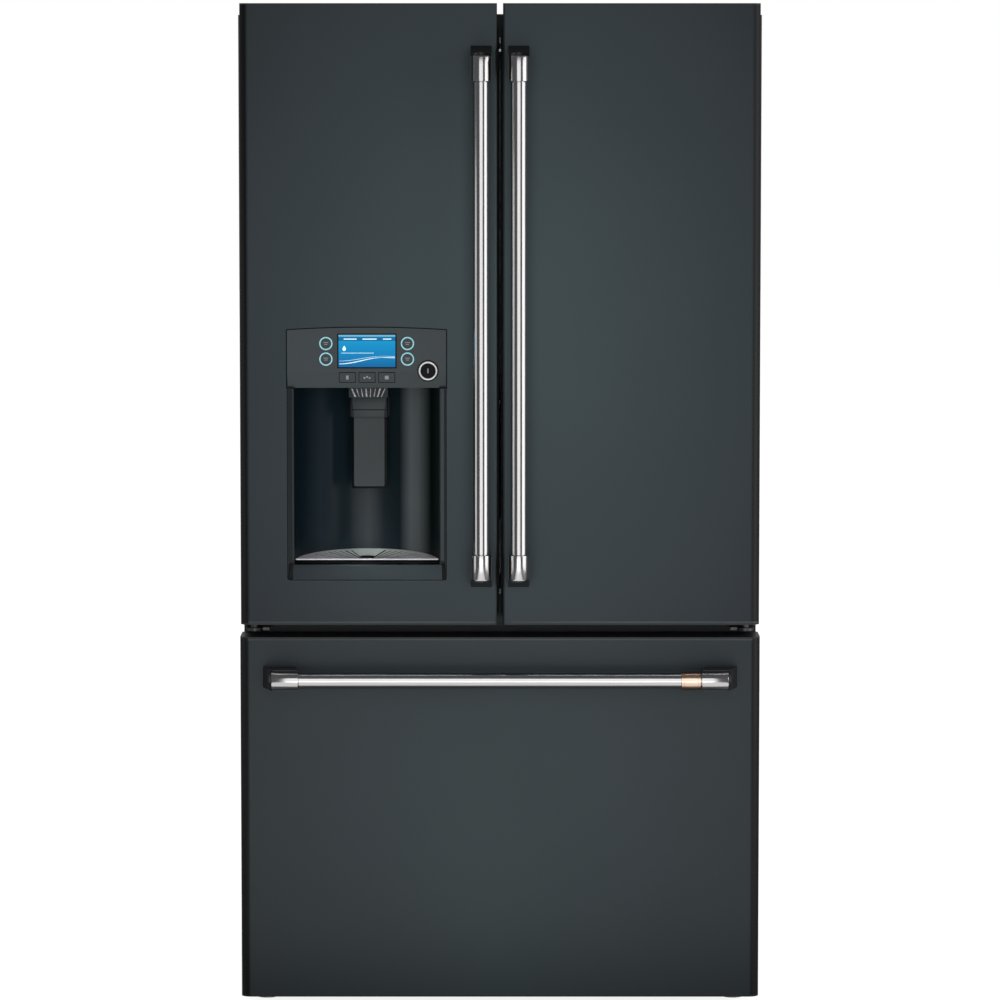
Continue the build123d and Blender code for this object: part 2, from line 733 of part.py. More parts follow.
# ---- dispenser ----
def recess_cylinder(radius, z0, z1):
    """The round space of the recess, about an upright axis in front of the door."""
    return upright(disp_x, recess_centre_y, z0, z1, radius)


def dispenser_housing():
    """The gloss moulding that lines the dispenser: recess, paddle holder, nozzle block and lip."""
    y0 = recess_front
    y1 = recess_front + recess_depth + 3.5
    shell = dispenser_opening(0, y0, y1)
    shell -= recess_cylinder(recess_radius, disp_bottom + 18, panel_bottom)
    shell -= block(disp_x - 200, disp_x + 200, y0 - 1, panel_back + 6, panel_bottom - 0.5, 1300)
    holder_rear = recess_front + recess_depth - 10
    shell += block(paddle_x - 34, paddle_x + 34, door_front + 16, holder_rear, 1078, 1100)
    shell += block(paddle_x - holder_width / 2, paddle_x + holder_width / 2,
                   paddle_pivot_y - 12, holder_rear, 1041, 1079)
    shell += block(paddle_x - 20, paddle_x + 20, holder_rear - 1, y1, 1041, 1100)
    half_gap = paddle_width / 2 + 0.5
    shell -= block(paddle_x - half_gap, paddle_x + half_gap,
                   paddle_pivot_y - 9, paddle_pivot_y + 10, 1040, 1057)
    shell -= crosswise(paddle_x - half_gap - 3.2, paddle_x + half_gap + 3.2, paddle_pivot_y,
                       paddle_pivot_z, 2.5 + running_gap)
    shell -= block(paddle_x - 25, paddle_x + 25, door_front + 21.5, door_front + 53, 1070, 1300)
    return [shell]


def face_point(z):
    """Where the sloped lower face of the control panel lies at a height."""
    return panel_front + panel_slope * (panel_crease - z) / (panel_crease - panel_bottom)


def key_block(x, wide, tall, outside, inside):
    """A block square to the sloped face, from outside it to inside it."""
    place = Pos(x, face_point(key_z), key_z) * Rot(slope_angle, 0, 0)
    return place * Pos(0, (inside - outside) / 2, 0) * Box(wide, inside + outside, tall)


def control_panel():
    """The panel over the recess: an upright upper face, and a lower face sloped back."""
    outline = dispenser_opening(-0.3, panel_front - 5, panel_back + 5)
    profile = Polyline((panel_front, 1300), (panel_front, panel_crease),
                       (panel_front + panel_slope, panel_bottom), (panel_back, panel_bottom),
                       (panel_back, 1300), close=True)
    reach = disp_half + 5
    wedge = Pos(disp_x - reach, 0, 0) * extrude(Plane.YZ * make_face(profile), amount=2 * reach)
    panel = wedge & outline
    half_w = screen_size[0] / 2
    half_h = screen_size[1] / 2
    panel -= block(screen_x - half_w - 0.2, screen_x + half_w + 0.2, panel_front - 1, panel_front + 1.2,
                   screen_z - half_h - 0.2, screen_z + half_h + 0.2)
    for x in key_xs.values():
        panel -= key_block(x, key_size[0] + 0.8, key_size[1] + 0.8, 10, 40)
    panel += fore_aft(button_x, panel_front - 1.2, panel_back, button_z, 18)
    panel -= fore_aft(button_x, panel_front - 5, panel_back + 5, button_z, button_radius + 0.35)
    return [panel]


def display_screen():
    """The flat screen in the panel."""
    half_w = screen_size[0] / 2
    half_h = screen_size[1] / 2
    return [block(screen_x - half_w, screen_x + half_w, panel_front - 0.1, panel_front + 1.1,
                  screen_z - half_h, screen_z + half_h)]


def hot_water_button():
    """The round push button at the panel's right."""
    knob = fore_aft(button_x, panel_front - 1.5, panel_front + 9, button_z, button_radius)
    return [fillet(knob.faces().sort_by(Axis.Y)[0].edges(), 0.8)]


def panel_key(x):
    """One flat key in the sloped face."""
    return [key_block(x, key_size[0], key_size[1], 0.4, 5)]


def dispenser_paddle():
    """The push paddle, hung on a cross pin."""
    half = paddle_width / 2
    plate = block(paddle_x - half, paddle_x + half, paddle_pivot_y - 4, paddle_pivot_y - 0.5,
                  paddle_bottom, paddle_pivot_z)
    plate = fillet(plate.edges().filter_by(Axis.Y), 3)
    plate += crosswise(paddle_x - half, paddle_x + half, paddle_pivot_y, paddle_pivot_z, 5)
    return [plate + crosswise(paddle_x - half - 3.2, paddle_x + half + 3.2, paddle_pivot_y,
                              paddle_pivot_z, 2.5)]


def drip_tray():
    """The lift-out tray: a shallow segment of a disc with radial slots."""
    tray = recess_cylinder(recess_radius - 0.6, disp_bottom + 19, tray_z + tray_rise + 5)
    tray &= block(disp_x - 150, disp_x + 150, recess_front + 2, 0, 0, height)
    tilt = degrees(atan2(tray_rise, recess_depth))
    above = Pos(disp_x, recess_front, tray_z) * Rot(tilt, 0, 0) * Pos(0, 60, 50) * Box(320, 400, 100)
    tray -= above
    hub_y = recess_front - 60
    for index in range(-9, 10):
        turn = Pos(disp_x, hub_y, 0) * Rot(0, 0, index * 5.4)
        tray -= turn * Pos(0, 110, tray_z) * Box(3.2, 70, 14) & recess_cylinder(recess_radius - 8, 0, height)
    return [tray]


# ---- ice making in the left door ----
ice_low = 1216.0
ice_high = 1660.0
ice_rear = -168.0


def ice_box():
    """The insulated ice compartment in the door, and its lid."""
    x0 = -dyke_outer + dyke_wall + 1
    x1 = -dyke_centre - dyke_wall - 1
    lid_front = ice_rear - 12
    shell = block(x0, x1, door_back + 2.5, lid_front - 0.3, ice_low, ice_high)
    shell -= block(x0 + 12, x1 - 12, door_back + 14, lid_front, ice_low + 12, ice_high - 12)
    shell -= block(paddle_x - 25, paddle_x + 25, door_back + 15, bulge_rear - 10, ice_low - 1, ice_low + 13)
    lid = block(x0 + 1, x1 - 1, lid_front, ice_rear, ice_low + 1, ice_high - 1)
    lid = fillet(lid.faces().sort_by(Axis.Y)[-1].edges(), 4)
    return [shell, lid]


def ice_maker():
    """The freezing mould, with its row of pockets."""
    mould = block(-350, -110, door_back + 20, ice_rear - 30, 1570, 1600)
    for index in range(7):
        x0 = -342 + index * 33
        mould -= block(x0, x0 + 27, door_back + 26, ice_rear - 36, 1580, 1601)
    return [mould]


def ice_bucket():
    """The bucket under the mould that feeds the chute."""
    bucket = tub(-362, -88, door_back + 18, ice_rear - 18, ice_low + 15, 1500, 3, 12)
    return [bucket - block(paddle_x - 25, paddle_x + 25, door_back + 25, bulge_rear - 10, 1200, 1240)]


# ---- freezer drawer ----
slide_low = 200.0
slide_high = 245.0
slide_front = case_front + 17.5
slide_rear = 172.0


def drawer_skin():
    """The drawer's folded steel front."""
    return [skin_shell(-drawer_outer, drawer_outer, drawer_bottom + cap_plate, drawer_top - 2,
                       outer_edge_radius, outer_edge_radius)]


def drawer_caps():
    """The moulded top and bottom caps of the drawer front."""
    inset = sheet + 0.2
    caps = []
    for z0, z1, p0, p1 in ((drawer_top - 2, drawer_top, drawer_top - 14, drawer_top - 2),
                           (drawer_bottom, drawer_bottom + cap_plate, drawer_bottom + cap_plate,
                            drawer_bottom + foot_plug)):
        plate = door_plan(-drawer_outer, drawer_outer, door_front, door_back,
                          outer_edge_radius, outer_edge_radius, z0, z1)
        plug = door_plan(-drawer_outer + inset, drawer_outer - inset, door_front + inset, door_back,
                         outer_edge_radius - inset, outer_edge_radius - inset, p0, p1)
        caps.append(plate + plug)
    return caps


def drawer_liner():
    """The foam-filled inner unit of the drawer front, with its raised plug."""
    inset = sheet + 0.2
    slab = door_plan(-drawer_outer + inset, drawer_outer - inset, door_front + inset, door_back + liner_proud,
                     outer_edge_radius - inset, outer_edge_radius - inset,
                     drawer_bottom + foot_plug, drawer_top - 14)
    raised = block(-frost_half + 12, frost_half - 12, door_back, case_front + 6,
                   frost_bottom + 12, frost_top - 12)
    raised = fillet(raised.faces().sort_by(Axis.Y)[-1].edges(), 5)
    return [slab + raised]


def drawer_gasket():
    """The seal around the back of the drawer front."""
    reach = frost_half + 25
    return [ring_gasket(-reach, reach, frost_bottom - 24, drawer_top - 4, 15)]


def drawer_handle_bar():
    """The drawer's steel bar with an end sleeve at each end."""
    inner = cross_half - cross_ferrule
    core = grip_radius - 2
    grip = crosswise(-inner + joint_groove, inner - joint_groove, handle_y, cross_z, grip_radius)
    grip += crosswise(-inner - 3, inner + 3, handle_y, cross_z, core)
    grip -= crosswise(band_start - 0.1, band_start + band_length + 0.1, handle_y, cross_z, grip_radius + 1)
    grip += crosswise(band_start - 1, inner, handle_y, cross_z, core)
    sleeve = crosswise(inner, cross_half, handle_y, cross_z, ferrule_radius)
    sleeve = fillet(sleeve.edges().filter_by(GeomType.CIRCLE).sort_by(Axis.X)[-1], 2.5)
    sleeve -= crosswise(0, inner + 3, handle_y, cross_z, core)
    return [grip] + both_sides([sleeve])


def copper_band():
    """The copper band on the bar beside the right sleeve, grooved near each edge."""
    end = band_start + band_length
    band = crosswise(band_start, end, handle_y, cross_z, band_radius)
    for x0 in (band_start + 4, end - 5.5):
        ring = crosswise(x0, x0 + 1.5, handle_y, cross_z, band_radius + 1)
        band -= ring - crosswise(x0, x0 + 1.5, handle_y, cross_z, band_radius - 0.8)
    return [band - crosswise(band_start - 1, end + 1, handle_y, cross_z, grip_radius - 2)]


def drawer_handle_posts():
    """The two posts of the drawer's handle."""
    right = Pos(cross_half - cross_ferrule, handle_y, cross_z) * handle_post(cross_ferrule)
    return both_sides([right])


def slide_bar(x0, x1, z0, z1):
    """One telescopic member with a shallow ball groove along each face."""
    bar = block(x0, x1, slide_front, slide_rear, z0, z1)
    middle = (z0 + z1) / 2
    return bar - block(x0, x0 + 1.5, slide_front + 5, slide_rear - 5, middle - 4, middle + 4)


def outer_slides():
    """The slide members fixed to the liner's walls."""
    return both_sides([slide_bar(-391.5, -384, slide_low, slide_high)])


def middle_slides():
    """The slide members that move half as far as the drawer."""
    return both_sides([slide_bar(-383.5, -378, slide_low + 2, slide_high - 2)])


def inner_slides():
    """The slide members on the drawer, with the brackets that hold the drawer front."""
    bar = slide_bar(-377.5, -372, slide_low + 4, slide_high - 4)
    bracket = block(-377.5, -372, case_front + 6.3, slide_front + 1, slide_low - 14, slide_high + 14)
    return both_sides([bar + bracket])


def lower_basket():
    """The deep tub on the drawer."""
    return [tub(-364, 364, slide_front + 4, slide_rear - 6, frost_bottom + 16, 400, 4, 18)]


def upper_basket():
    """The shallow tub that hangs by its rim on the liner's ledges."""
    body = tub(-368, 368, slide_front + 6, slide_rear - 8, 440, ledge_top + 14, 4, 18)
    rail = block(-388, -367, slide_front + 20, slide_rear - 22, ledge_top + 0.5, ledge_top + 6)
    for side in both_sides([rail]):
        body += side
    return [body]


# ---- the nodes, by name ----
nodes = {
    "case_wrapper": case_wrapper(),
    "rear_panels": rear_panels(),
    "base_pan": base_pan(),
    "cabinet_foam": cabinet_foam(),
    "fresh_food_liner": fresh_food_liner(),
    "freezer_liner": freezer_liner(),
    "base_grille": base_grille(),
    "hinges": hinges(),
    "hinge_covers": hinge_covers(),
    "glass_shelves": glass_shelves(),
    "shelf_supports": shelf_supports(),
    "produce_drawers": produce_drawers(),
    "air_duct": air_duct(),
    "compressor": compressor(),
    "condenser_unit": condenser_unit(),
    "condenser_fan": condenser_fan(),
    "evaporator_coil": evaporator_coil(),
    "evaporator_cover": evaporator_cover(),
    "evaporator_fan": evaporator_fan(),
    "levelling_legs": levelling_legs(),
    "rear_rollers": rear_rollers(),
    "left_door_skin": left_door_skin(),
    "left_door_caps": door_caps(),
    "left_door_liner": left_door_liner(),
    "left_door_gasket": [door_gasket()],
    "left_door_bins": left_door_bins(),
    "left_handle_bar": upright_handle(-upright_x),
    "left_handle_posts": upright_posts(-upright_x),
    "mullion_flap": mullion_flap(),
    "dispenser_housing": dispenser_housing(),
    "control_panel": control_panel(),
    "display_screen": display_screen(),
    "hot_water_button": hot_water_button(),
    "dispenser_paddle": dispenser_paddle(),
    "drip_tray": drip_tray(),
    "ice_box": ice_box(),
    "ice_maker": ice_maker(),
    "ice_bucket": ice_bucket(),
    "right_door_skin": [flip(plain_skin())],
    "right_door_caps": [flip(cap) for cap in door_caps()],
    "right_door_liner": [flip(foamed_door())],
    "right_door_gasket": [flip(door_gasket())],
    "right_door_bins": right_door_bins(),
    "right_handle_bar": upright_handle(upright_x),
    "right_handle_posts": upright_posts(upright_x),
    "drawer_skin": drawer_skin(),
    "drawer_caps": drawer_caps(),
    "drawer_liner": drawer_liner(),
    "drawer_gasket": drawer_gasket(),
    "drawer_handle_bar": drawer_handle_bar(),
    "drawer_handle_posts": drawer_handle_posts(),
    "copper_band": copper_band(),
    "outer_slides": outer_slides(),
    "middle_slides": middle_slides(),
    "inner_slides": inner_slides(),
    "lower_basket": lower_basket(),
    "upper_basket": upper_basket(),
}
for key_name, key_x in key_xs.items():
    nodes[key_name] = panel_key(key_x)

os.makedirs("parts", exist_ok=True)
for name, solids in nodes.items():
    export_step(Compound(children=solids) if len(solids) > 1 else solids[0], f"parts/{name}.step")
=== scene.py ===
import math

import bpy
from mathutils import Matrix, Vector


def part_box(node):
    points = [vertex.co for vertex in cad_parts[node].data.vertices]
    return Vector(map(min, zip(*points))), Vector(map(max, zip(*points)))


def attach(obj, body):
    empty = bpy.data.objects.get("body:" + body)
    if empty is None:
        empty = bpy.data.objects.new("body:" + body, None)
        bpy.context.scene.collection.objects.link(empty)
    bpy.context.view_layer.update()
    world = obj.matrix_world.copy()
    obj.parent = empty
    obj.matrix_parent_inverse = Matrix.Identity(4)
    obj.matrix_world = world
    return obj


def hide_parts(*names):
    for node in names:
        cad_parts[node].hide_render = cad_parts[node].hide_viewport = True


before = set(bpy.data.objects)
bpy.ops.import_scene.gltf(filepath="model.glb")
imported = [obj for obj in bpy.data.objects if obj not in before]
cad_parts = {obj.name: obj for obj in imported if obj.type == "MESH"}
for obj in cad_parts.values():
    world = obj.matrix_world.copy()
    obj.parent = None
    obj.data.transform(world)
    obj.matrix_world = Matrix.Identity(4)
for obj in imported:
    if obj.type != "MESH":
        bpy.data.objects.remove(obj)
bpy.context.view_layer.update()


# ---- case sheets ----
# The outside of the case is folded sheet steel with a fine textured paint. The two sides, the top and
# the rail between the compartments are separate sheets, foamed in place around the liners.
def new_finish(name, colour, roughness, metallic=0.0):
    """A Principled material with its fixed values on its own sockets."""
    finish = bpy.data.materials.new(name)
    finish.use_nodes = True
    shader = finish.node_tree.nodes["Principled BSDF"]
    shader.inputs["Base Color"].default_value = (*colour, 1)
    shader.inputs["Roughness"].default_value = roughness
    shader.inputs["Metallic"].default_value = metallic
    return finish


def pattern(finish, kind, scale, stretch=(1, 1, 1)):
    """A noise or cell pattern on object coordinates, stretched along the axes."""
    nodes, links = finish.node_tree.nodes, finish.node_tree.links
    place = nodes.new("ShaderNodeTexCoord")
    mapping = nodes.new("ShaderNodeMapping")
    mapping.inputs["Scale"].default_value = stretch
    texture = nodes.new(kind)
    if "Scale" in texture.inputs:
        texture.inputs["Scale"].default_value = scale
    links.new(place.outputs["Object"], mapping.inputs["Vector"])
    links.new(mapping.outputs["Vector"], texture.inputs["Vector"])
    return texture


def tint(finish, texture, dark, light, low=0.3, high=0.7):
    """Varies the colour between two shades by a pattern."""
    nodes, links = finish.node_tree.nodes, finish.node_tree.links
    ramp = nodes.new("ShaderNodeValToRGB")
    ramp.color_ramp.elements[0].position = low
    ramp.color_ramp.elements[0].color = (*dark, 1)
    ramp.color_ramp.elements[1].position = high
    ramp.color_ramp.elements[1].color = (*light, 1)
    source = texture.outputs["Fac"] if "Fac" in texture.outputs else texture.outputs["Distance"]
    links.new(source, ramp.inputs["Fac"])
    links.new(ramp.outputs["Color"], nodes["Principled BSDF"].inputs["Base Color"])


def roughen(finish, texture, low, high):
    """Varies the roughness by a pattern."""
    nodes, links = finish.node_tree.nodes, finish.node_tree.links
    spread = nodes.new("ShaderNodeMapRange")
    spread.inputs["To Min"].default_value = low
    spread.inputs["To Max"].default_value = high
    source = texture.outputs["Fac"] if "Fac" in texture.outputs else texture.outputs["Distance"]
    links.new(source, spread.inputs["Value"])
    links.new(spread.outputs["Result"], nodes["Principled BSDF"].inputs["Roughness"])


def emboss(finish, texture, strength, depth):
    """Raises a fine relief by a pattern."""
    nodes, links = finish.node_tree.nodes, finish.node_tree.links
    bump = nodes.new("ShaderNodeBump")
    bump.inputs["Strength"].default_value = strength
    bump.inputs["Distance"].default_value = depth
    source = texture.outputs["Fac"] if "Fac" in texture.outputs else texture.outputs["Distance"]
    links.new(source, bump.inputs["Height"])
    links.new(bump.outputs["Normal"], nodes["Principled BSDF"].inputs["Normal"])


def dress(node, finish):
    """Gives a frame part its finish."""
    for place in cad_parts[node].material_slots:
        place.material = finish


def noise_finish(name, dark, light, roughness, metallic, scale, relief, stretch=(1, 1, 1)):
    """A finish whose colour, roughness and relief all follow one fine noise."""
    finish = new_finish(name, light, sum(roughness) / 2, metallic)
    grain = pattern(finish, "ShaderNodeTexNoise", scale, stretch)
    tint(finish, grain, dark, light)
    roughen(finish, grain, *roughness)
    emboss(finish, grain, 0.35, relief)
    return finish


case_paint = noise_finish("case_paint", (0.030, 0.034, 0.037), (0.038, 0.043, 0.046),
                          (0.42, 0.54), 0.2, 520, 0.0004)
dress("case_wrapper", case_paint)


# ---- back and base ----
# The back sheet, machine room cover and base pan are bare galvanised steel, with the zinc's large
# crystals showing. The back sheet has pressed ribs, and the cover has rows of slots.
galvanised = new_finish("galvanised_steel", (0.46, 0.47, 0.48), 0.42, 0.85)
spangle = pattern(galvanised, "ShaderNodeTexVoronoi", 130)
tint(galvanised, spangle, (0.40, 0.41, 0.42), (0.50, 0.51, 0.52), 0.0, 0.9)
roughen(galvanised, spangle, 0.32, 0.5)
for part in ("rear_panels", "base_pan"):
    dress(part, galvanised)
zinc_plate = noise_finish("zinc_plate", (0.38, 0.39, 0.40), (0.55, 0.56, 0.57), (0.26, 0.4), 0.95,
                          180, 0.0001, (1, 8, 1))
hinge_steel = noise_finish("hinge_steel", (0.030, 0.030, 0.032), (0.11, 0.11, 0.115), (0.3, 0.45), 0.7,
                           60, 0.0001)
dress("hinges", hinge_steel)
for part in ("levelling_legs", "outer_slides", "middle_slides", "inner_slides", "shelf_supports"):
    dress(part, zinc_plate)


# ---- caps, covers and feet in black moulded plastic ----
# The door caps, hinge covers, kick grille, closing flap and rollers are injection moulded in black,
# with a fine spark-eroded grain.
black_moulding = noise_finish("black_moulding", (0.010, 0.012, 0.013), (0.016, 0.018, 0.020),
                              (0.42, 0.55), 0.0, 900, 0.0002)
for part in ("left_door_caps", "right_door_caps", "drawer_caps", "hinge_covers", "base_grille",
             "mullion_flap", "rear_rollers", "condenser_fan", "evaporator_fan"):
    dress(part, black_moulding)
seal_rubber = noise_finish("seal_rubber", (0.020, 0.021, 0.022), (0.030, 0.031, 0.032),
                           (0.6, 0.75), 0.0, 300, 0.0002)
for part in ("left_door_gasket", "right_door_gasket", "drawer_gasket"):
    dress(part, seal_rubber)


# ---- liners and inner fittings ----
# The liners and inner door units are formed from glossy white sheet. The bins and drawers are clear
# moulded plastic, the shelves tempered glass, and the foam between the walls a cream rigid foam.
white_liner = noise_finish("white_liner", (0.74, 0.77, 0.78), (0.80, 0.83, 0.84), (0.22, 0.32), 0.0,
                           240, 0.0001)
for part in ("fresh_food_liner", "freezer_liner", "left_door_liner", "right_door_liner", "drawer_liner",
             "air_duct", "evaporator_cover", "ice_box"):
    dress(part, white_liner)
cream_foam = noise_finish("cream_foam", (0.60, 0.50, 0.30), (0.74, 0.64, 0.42), (0.8, 0.95), 0.0,
                          160, 0.001)
dress("cabinet_foam", cream_foam)


def clear_finish(name, colour, roughness, passing):
    """A clear moulded or cast finish with faint flow marks."""
    finish = new_finish(name, colour, roughness)
    shader = finish.node_tree.nodes["Principled BSDF"]
    shader.inputs["Transmission Weight"].default_value = passing
    shader.inputs["IOR"].default_value = 1.45
    flow = pattern(finish, "ShaderNodeTexNoise", 12)
    roughen(finish, flow, roughness * 0.7, roughness * 1.4)
    tint(finish, flow, tuple(c * 0.96 for c in colour), colour)
    return finish


clear_plastic = clear_finish("clear_plastic", (0.86, 0.93, 0.96), 0.12, 0.8)
for part in ("produce_drawers", "left_door_bins", "right_door_bins", "lower_basket", "upper_basket",
             "ice_bucket"):
    dress(part, clear_plastic)
shelf_glass = clear_finish("shelf_glass", (0.80, 0.94, 0.91), 0.04, 0.9)
dress("glass_shelves", shelf_glass)


# ---- cooling machinery ----
# The compressor can is enamelled black steel, the condenser painted matt black, and the evaporator
# bare aluminium with a dull oxide.
black_enamel = noise_finish("black_enamel", (0.008, 0.008, 0.009), (0.014, 0.014, 0.015),
                            (0.2, 0.34), 0.0, 90, 0.0002)
dress("compressor", black_enamel)
condenser_paint = noise_finish("condenser_paint", (0.010, 0.010, 0.011), (0.02, 0.02, 0.021),
                               (0.5, 0.7), 0.3, 400, 0.0002)
dress("condenser_unit", condenser_paint)
dull_aluminium = noise_finish("dull_aluminium", (0.52, 0.53, 0.54), (0.68, 0.69, 0.70),
                              (0.3, 0.5), 1.0, 140, 0.0002)
for part in ("evaporator_coil", "ice_maker"):
    dress(part, dull_aluminium)


# ---- door and drawer skins ----
# The fronts are folded steel with a dark slate coat: a fine flake in a nearly flat lacquer, with
# the faint ripple that a rolled coat has. A painted sheen lightens the middle of each front, painted
# shade deepens it outwards, and the rounded outer sides are painted nearly black as a painted
# reflection of the dark room.
def slate_coat_painted_sheen(name, middle, edge, spread, height):
    """The dark slate coat of a front, with a painted sheen at its middle and painted shade towards its edges
    and on its rounded outer sides.
    """
    finish = new_finish(name, middle, 0.45, 0.3)
    nodes, links = finish.node_tree.nodes, finish.node_tree.links
    # Painted sheen: the coat is lighter at the middle of the front and deeper in tone outwards.
    sheen = pattern(finish, "ShaderNodeTexGradient", 1, spread)
    sheen.gradient_type = "SPHERICAL"
    nodes["Mapping"].inputs["Location"].default_value = (0, 0, -height * spread[2])
    tint(finish, sheen, edge, middle, 0.08, 0.95)
    flake = pattern(finish, "ShaderNodeTexNoise", 1400)
    speckle = nodes.new("ShaderNodeMix")
    speckle.data_type = "RGBA"
    speckle.blend_type = "MULTIPLY"
    speckle.inputs["Factor"].default_value = 0.12
    links.new(nodes["Color Ramp"].outputs["Color"], speckle.inputs["A"])
    links.new(flake.outputs["Color"], speckle.inputs["B"])
    # Painted shade: the rounded outer sides are painted nearly black, a painted reflection of the dark room.
    apart = nodes.new("ShaderNodeSeparateXYZ")
    side = nodes.new("ShaderNodeMath")
    side.operation = "ABSOLUTE"
    wrap = nodes.new("ShaderNodeMapRange")
    wrap.inputs["From Min"].default_value = 0.4375
    wrap.inputs["From Max"].default_value = 0.4405
    painted_edge_shade = nodes.new("ShaderNodeMix")
    painted_edge_shade.data_type = "RGBA"
    painted_edge_shade.inputs["B"].default_value = (0.0005, 0.001, 0.0015, 1)
    links.new(nodes["Texture Coordinate"].outputs["Object"], apart.inputs["Vector"])
    links.new(apart.outputs["X"], side.inputs[0])
    links.new(side.outputs["Value"], wrap.inputs["Value"])
    links.new(wrap.outputs["Result"], painted_edge_shade.inputs["Factor"])
    links.new(speckle.outputs["Result"], painted_edge_shade.inputs["A"])
    links.new(painted_edge_shade.outputs["Result"], nodes["Principled BSDF"].inputs["Base Color"])
    ripple = pattern(finish, "ShaderNodeTexNoise", 160)
    emboss(finish, ripple, 0.06, 0.0004)
    cloud = pattern(finish, "ShaderNodeTexNoise", 3.5)
    roughen(finish, cloud, 0.42, 0.5)
    return finish


slate = slate_coat_painted_sheen("slate_coat_painted_sheen", (0.049, 0.077, 0.085), (0.011, 0.019, 0.026), (1.5, 0, 1.15), 1.27)
for part in ("left_door_skin", "right_door_skin"):
    dress(part, slate)
drawer_slate = slate_coat_painted_sheen("drawer_coat_painted_sheen", (0.029, 0.046, 0.0513), (0.010, 0.016, 0.021), (1.4, 0, 0.4),
                          0.0)
dress("drawer_skin", drawer_slate)


# ---- folded edges ----
# The skin is folded over at the foot of each door and at the head of the drawer. The fold stands a
# hair proud, and its coat is painted paler than the skin: a painted highlight for the thin line of light it
# catches.
def clear_selection():
    """Leaves nothing selected, so that an operator acts only on the new piece."""
    bpy.ops.object.select_all(action="DESELECT")


def finish_piece(piece, name, body, finish):
    """Names a piece, seats it at the origin, and gives it its body, slot and finish."""
    clear_selection()
    piece.select_set(True)
    bpy.context.view_layer.objects.active = piece
    bpy.ops.object.transform_apply(location=True, rotation=True, scale=True)
    bpy.ops.object.shade_smooth_by_angle(angle=math.radians(35))
    piece.name = name
    piece.data.name = name
    piece.data.materials.clear()
    piece.data.materials.append(finish)
    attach(piece, body)
    return piece


def bevelled_block(low, high, width, segments=3):
    """A block with its edges rounded."""
    clear_selection()
    centre = [(a + b) / 2 for a, b in zip(low, high)]
    bpy.ops.mesh.primitive_cube_add(size=1, location=centre)
    piece = bpy.context.object
    piece.scale = [b - a for a, b in zip(low, high)]
    bpy.ops.object.transform_apply(location=True, rotation=True, scale=True)
    bpy.ops.object.mode_set(mode="EDIT")
    bpy.ops.mesh.select_all(action="SELECT")
    bpy.ops.mesh.bevel(offset=width, segments=segments, affect="EDGES")
    bpy.ops.object.mode_set(mode="OBJECT")
    return piece


# Painted highlight: the fold's coat is paler than the skin, for the line of light that the fold catches.
fold_painted_highlight = noise_finish("fold_painted_highlight", (0.055, 0.070, 0.074), (0.066, 0.084, 0.088), (0.4, 0.5), 0.3,
                          900, 0.00005)
for node, body, at_foot in (("left_door_skin", "left_door", True), ("right_door_skin", "right_door", True),
                            ("drawer_skin", "freezer_drawer", False)):
    skin_low, skin_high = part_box(node)
    fold_z = skin_low.z + 0.0004 if at_foot else skin_high.z - 0.0032
    fold = bevelled_block((skin_low.x + 0.014, skin_low.y - 0.0003, fold_z),
                          (skin_high.x - (0.014 if node == "drawer_skin" else 0.003), skin_low.y + 0.0006,
                           fold_z + 0.0028), 0.0003, 2)
    finish_piece(fold, f"{node}_fold", body, fold_painted_highlight)


# ---- bar handles ----
# Each handle is a round stainless bar, ground along its length, whose ends go into turned sleeves.
# A black post at each end carries the sleeve and is screwed on from inside the door.
def turned(profile, start, axis="Z", sides=64):
    """A turned piece: a disc drawn out along an axis, and widened or narrowed at each (radius, length)."""
    clear_selection()
    radius, along = profile[0]
    bpy.ops.mesh.primitive_circle_add(vertices=sides, radius=radius, fill_type="NGON",
                                      location=(0, 0, along))
    piece = bpy.context.object
    bpy.ops.object.transform_apply(location=True, rotation=True, scale=True)
    bpy.ops.object.mode_set(mode="EDIT")
    for next_radius, next_along in profile[1:]:
        bpy.ops.mesh.extrude_region_move(
            TRANSFORM_OT_translate={"value": (0, 0, next_along - along)})
        if next_radius != radius:
            ratio = next_radius / radius
            bpy.ops.transform.resize(value=(ratio, ratio, 1), center_override=(0, 0, next_along))
        radius, along = next_radius, next_along
    bpy.ops.mesh.select_all(action="SELECT")
    bpy.ops.mesh.remove_doubles(threshold=0.000001)
    bpy.ops.mesh.normals_make_consistent(inside=False)
    bpy.ops.object.mode_set(mode="OBJECT")
    turn = {"X": (0, math.pi / 2, 0), "Y": (-math.pi / 2, 0, 0), "Z": (0, 0, 0)}[axis]
    piece.rotation_euler = turn
    piece.location = start
    bpy.ops.object.transform_apply(location=True, rotation=True, scale=True)
    return piece


def ground_steel(name, stretch):
    """Stainless steel ground along one axis."""
    finish = new_finish(name, (0.62, 0.61, 0.61), 0.15, 1.0)
    lines = pattern(finish, "ShaderNodeTexNoise", 260, stretch)
    tint(finish, lines, (0.56, 0.55, 0.55), (0.66, 0.65, 0.65))
    roughen(finish, lines, 0.11, 0.18)
    emboss(finish, lines, 0.06, 0.0002)
    return finish


steel_upright = ground_steel("ground_steel_upright", (8, 8, 0.05))
steel_cross = ground_steel("ground_steel_cross", (0.05, 8, 8))
post_black = noise_finish("post_black", (0.018, 0.018, 0.019), (0.027, 0.027, 0.028),
                          (0.3, 0.42), 0.2, 700, 0.0001)
grip_radius = 0.014
sleeve_radius = 0.0169
bevel = 0.0018
spigot = 0.012
seam = 0.0008


